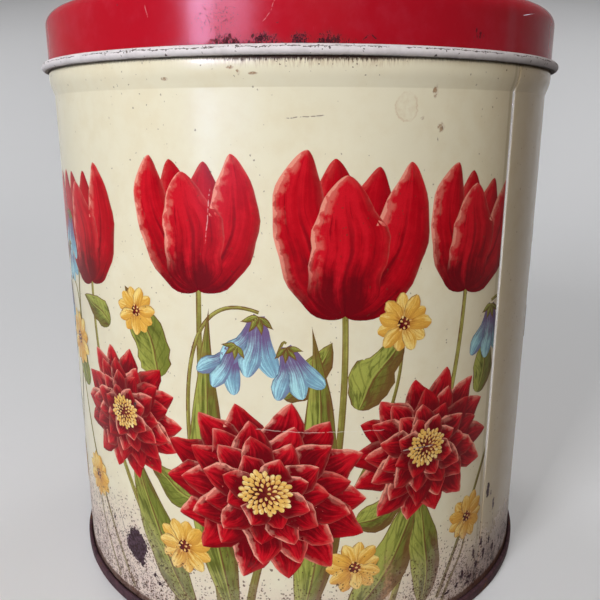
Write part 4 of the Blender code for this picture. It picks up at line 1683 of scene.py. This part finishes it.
def seen_directly(shade):
    """1 for rays from the camera and for reflections, 0 for the rays that light the tin."""
    rays = shade.node("ShaderNodeLightPath").outputs
    return shade.largest(rays["Is Camera Ray"], rays["Is Glossy Ray"], rays["Is Transmission Ray"])


def make_floor(settings):
    """A pale round floor that sweeps up into a backdrop on all sides."""
    radius, bend = settings.floor_radius, settings.floor_radius * 0.45
    profile = [(0, 0)] + arc(radius - bend, bend, bend, -90, 0) + [(radius, radius * 1.1)]
    shell = bmesh.new()
    spine = [shell.verts.new((along, 0, height)) for along, height in profile]
    edges = [shell.edges.new(pair) for pair in zip(spine, spine[1:])]
    bmesh.ops.spin(
        shell, geom=spine + edges, cent=(0, 0, 0), axis=(0, 0, 1), angle=math.tau, steps=96, use_merge=True
    )
    bmesh.ops.remove_doubles(shell, verts=shell.verts[:], dist=MM)
    bmesh.ops.recalc_face_normals(shell, faces=shell.faces[:])
    mesh = shell_mesh("floor", shell)
    mesh.shade_smooth()
    placed("floor", mesh)

    material = bpy.data.materials.new("floor")
    material.use_nodes = True
    shade = Shading(material.node_tree)
    shader = material.node_tree.nodes["Principled BSDF"]
    shader.inputs["Roughness"].default_value = 0.9
    shader.inputs["Specular IOR Level"].default_value = 0.1
    seen = seen_directly(shade)
    # Shares of the floor's tone: what it throws on the tin, what the camera sees, and its own glow there
    thrown, shown, glow = 0.16, 0.78, 0.16
    tones = [tuple(share * part for part in settings.floor_tone) for share in (thrown, shown)]
    shade.feed(shader.inputs["Base Color"], shade.mix(seen, *tones))
    shade.feed(shader.inputs["Emission Color"], settings.floor_tone)
    shade.feed(shader.inputs["Emission Strength"], seen * glow)
    mesh.materials.append(material)


def make_room(settings):
    """Even light from all round, brighter where the camera or a reflection sees the room itself."""
    seen_light = 0.6
    world = bpy.data.worlds.new("room")
    bpy.context.scene.world = world
    world.use_nodes = True
    shade = Shading(world.node_tree)
    background = world.node_tree.nodes["Background"]
    shade.feed(background.inputs["Color"], (0.96, 0.98, 1.0))
    shade.feed(background.inputs["Strength"], settings.room_light + seen_directly(shade) * seen_light)


def lamp(name, turn, distance, height, wide, tall, power, tone, mirrored=False):
    """A lamp so many degrees round from the front, aimed at the tin: it lights it, or is mirrored."""
    light = bpy.data.lights.new(name, "AREA")
    light.shape = "RECTANGLE"
    light.size = wide
    light.size_y = tall
    light.energy = power
    light.color = tone
    holder = placed(name, light)
    turn = math.radians(turn)
    holder.location = (distance * math.sin(turn), -distance * math.cos(turn), height)
    aim = LAMP_AIM - holder.location
    holder.rotation_euler = aim.to_track_quat("-Z", "Y").to_euler()
    holder.visible_camera = False
    holder.visible_glossy = mirrored
    holder.visible_diffuse = not mirrored


def make_lamps(settings):
    """The soft lamps that light the tin, and the two windows that it mirrors, dimmer low down."""
    cool, warm = (0.98, 0.99, 1.0), (1.0, 0.92, 0.82)
    lamp("key", -35, 1.1, 0.52, 0.30, 0.55, settings.key_power, cool)
    lamp("fill", 10, 1.2, 0.60, 0.5, 0.5, settings.fill_power, warm)
    for side in (-1, 1):
        lamp("back", side * 147, 1.25, 0.85, 0.6, 0.7, settings.back_power, cool)
    lamp("top", 160, 0.25, 1.3, 0.9, 0.9, settings.top_power, cool)
    low_share, low_tone = 0.045, (0.36, 0.58, 1.0)
    for name, turn, wide, power, tone in (
        ("window", -38.8, 0.20, settings.window_power, (0.66, 0.62, 1.0)),
        ("window_side", -25, 0.26, settings.side_power, (0.62, 0.64, 1.0)),
    ):
        lamp(name, turn, 1.1, 0.595, wide, 0.73, power, tone, mirrored=True)
        lamp(name + "_low", turn, 1.1, 0.125, wide, 0.21, power * low_share, low_tone, mirrored=True)


def make_camera(settings):
    data = bpy.data.cameras.new("camera")
    data.lens = settings.lens
    data.sensor_width = SENSOR_WIDTH
    data.clip_start = 0.01
    camera = placed("camera", data)
    camera.location = (0, -settings.camera_distance, settings.camera_height)
    camera.rotation_euler = (math.pi / 2 - settings.camera_pitch, 0, 0)
    bpy.context.scene.camera = camera


class TIN_PT_panel(bpy.types.Panel):
    """The tin's pieces and their settings"""

    bl_idname = "TIN_PT_panel"
    bl_label = "Round tin box"
    bl_space_type = "VIEW_3D"
    bl_region_type = "UI"
    bl_category = "Tin box"

    def draw(self, context):
        layout = self.layout
        for step in STEPS:
            layout.operator(step.bl_idname)
        for group_name in SETTINGS:
            box = layout.box()
            group = getattr(context.scene, group_name)
            box.label(text=group.bl_rna.name)
            for setting in group.__annotations__:
                box.prop(group, setting)


STEPS = (TIN_OT_wall, TIN_OT_base, TIN_OT_lid, TIN_OT_print, TIN_OT_stage)
SETTINGS = {
    "tin_sizes": TinSizes, "tin_colours": TinColours, "tin_print": PrintSizes, "tin_stage": StageSizes,
}


def register():
    for group in SETTINGS.values():
        bpy.utils.register_class(group)
    for name, group in SETTINGS.items():
        setattr(bpy.types.Scene, name, PointerProperty(type=group))
    for step in STEPS:
        bpy.utils.register_class(step)
    bpy.utils.register_class(TIN_PT_panel)


def unregister():
    bpy.utils.unregister_class(TIN_PT_panel)
    for step in reversed(STEPS):
        bpy.utils.unregister_class(step)
    for name, group in SETTINGS.items():
        delattr(bpy.types.Scene, name)
        bpy.utils.unregister_class(group)


def main():
    register()
    bpy.ops.tin_box.stage()
    bpy.ops.tin_box.wall()
    bpy.ops.tin_box.base()
    bpy.ops.tin_box.lid()
    bpy.ops.tin_box.print()


if __name__ == "__main__":
    main()
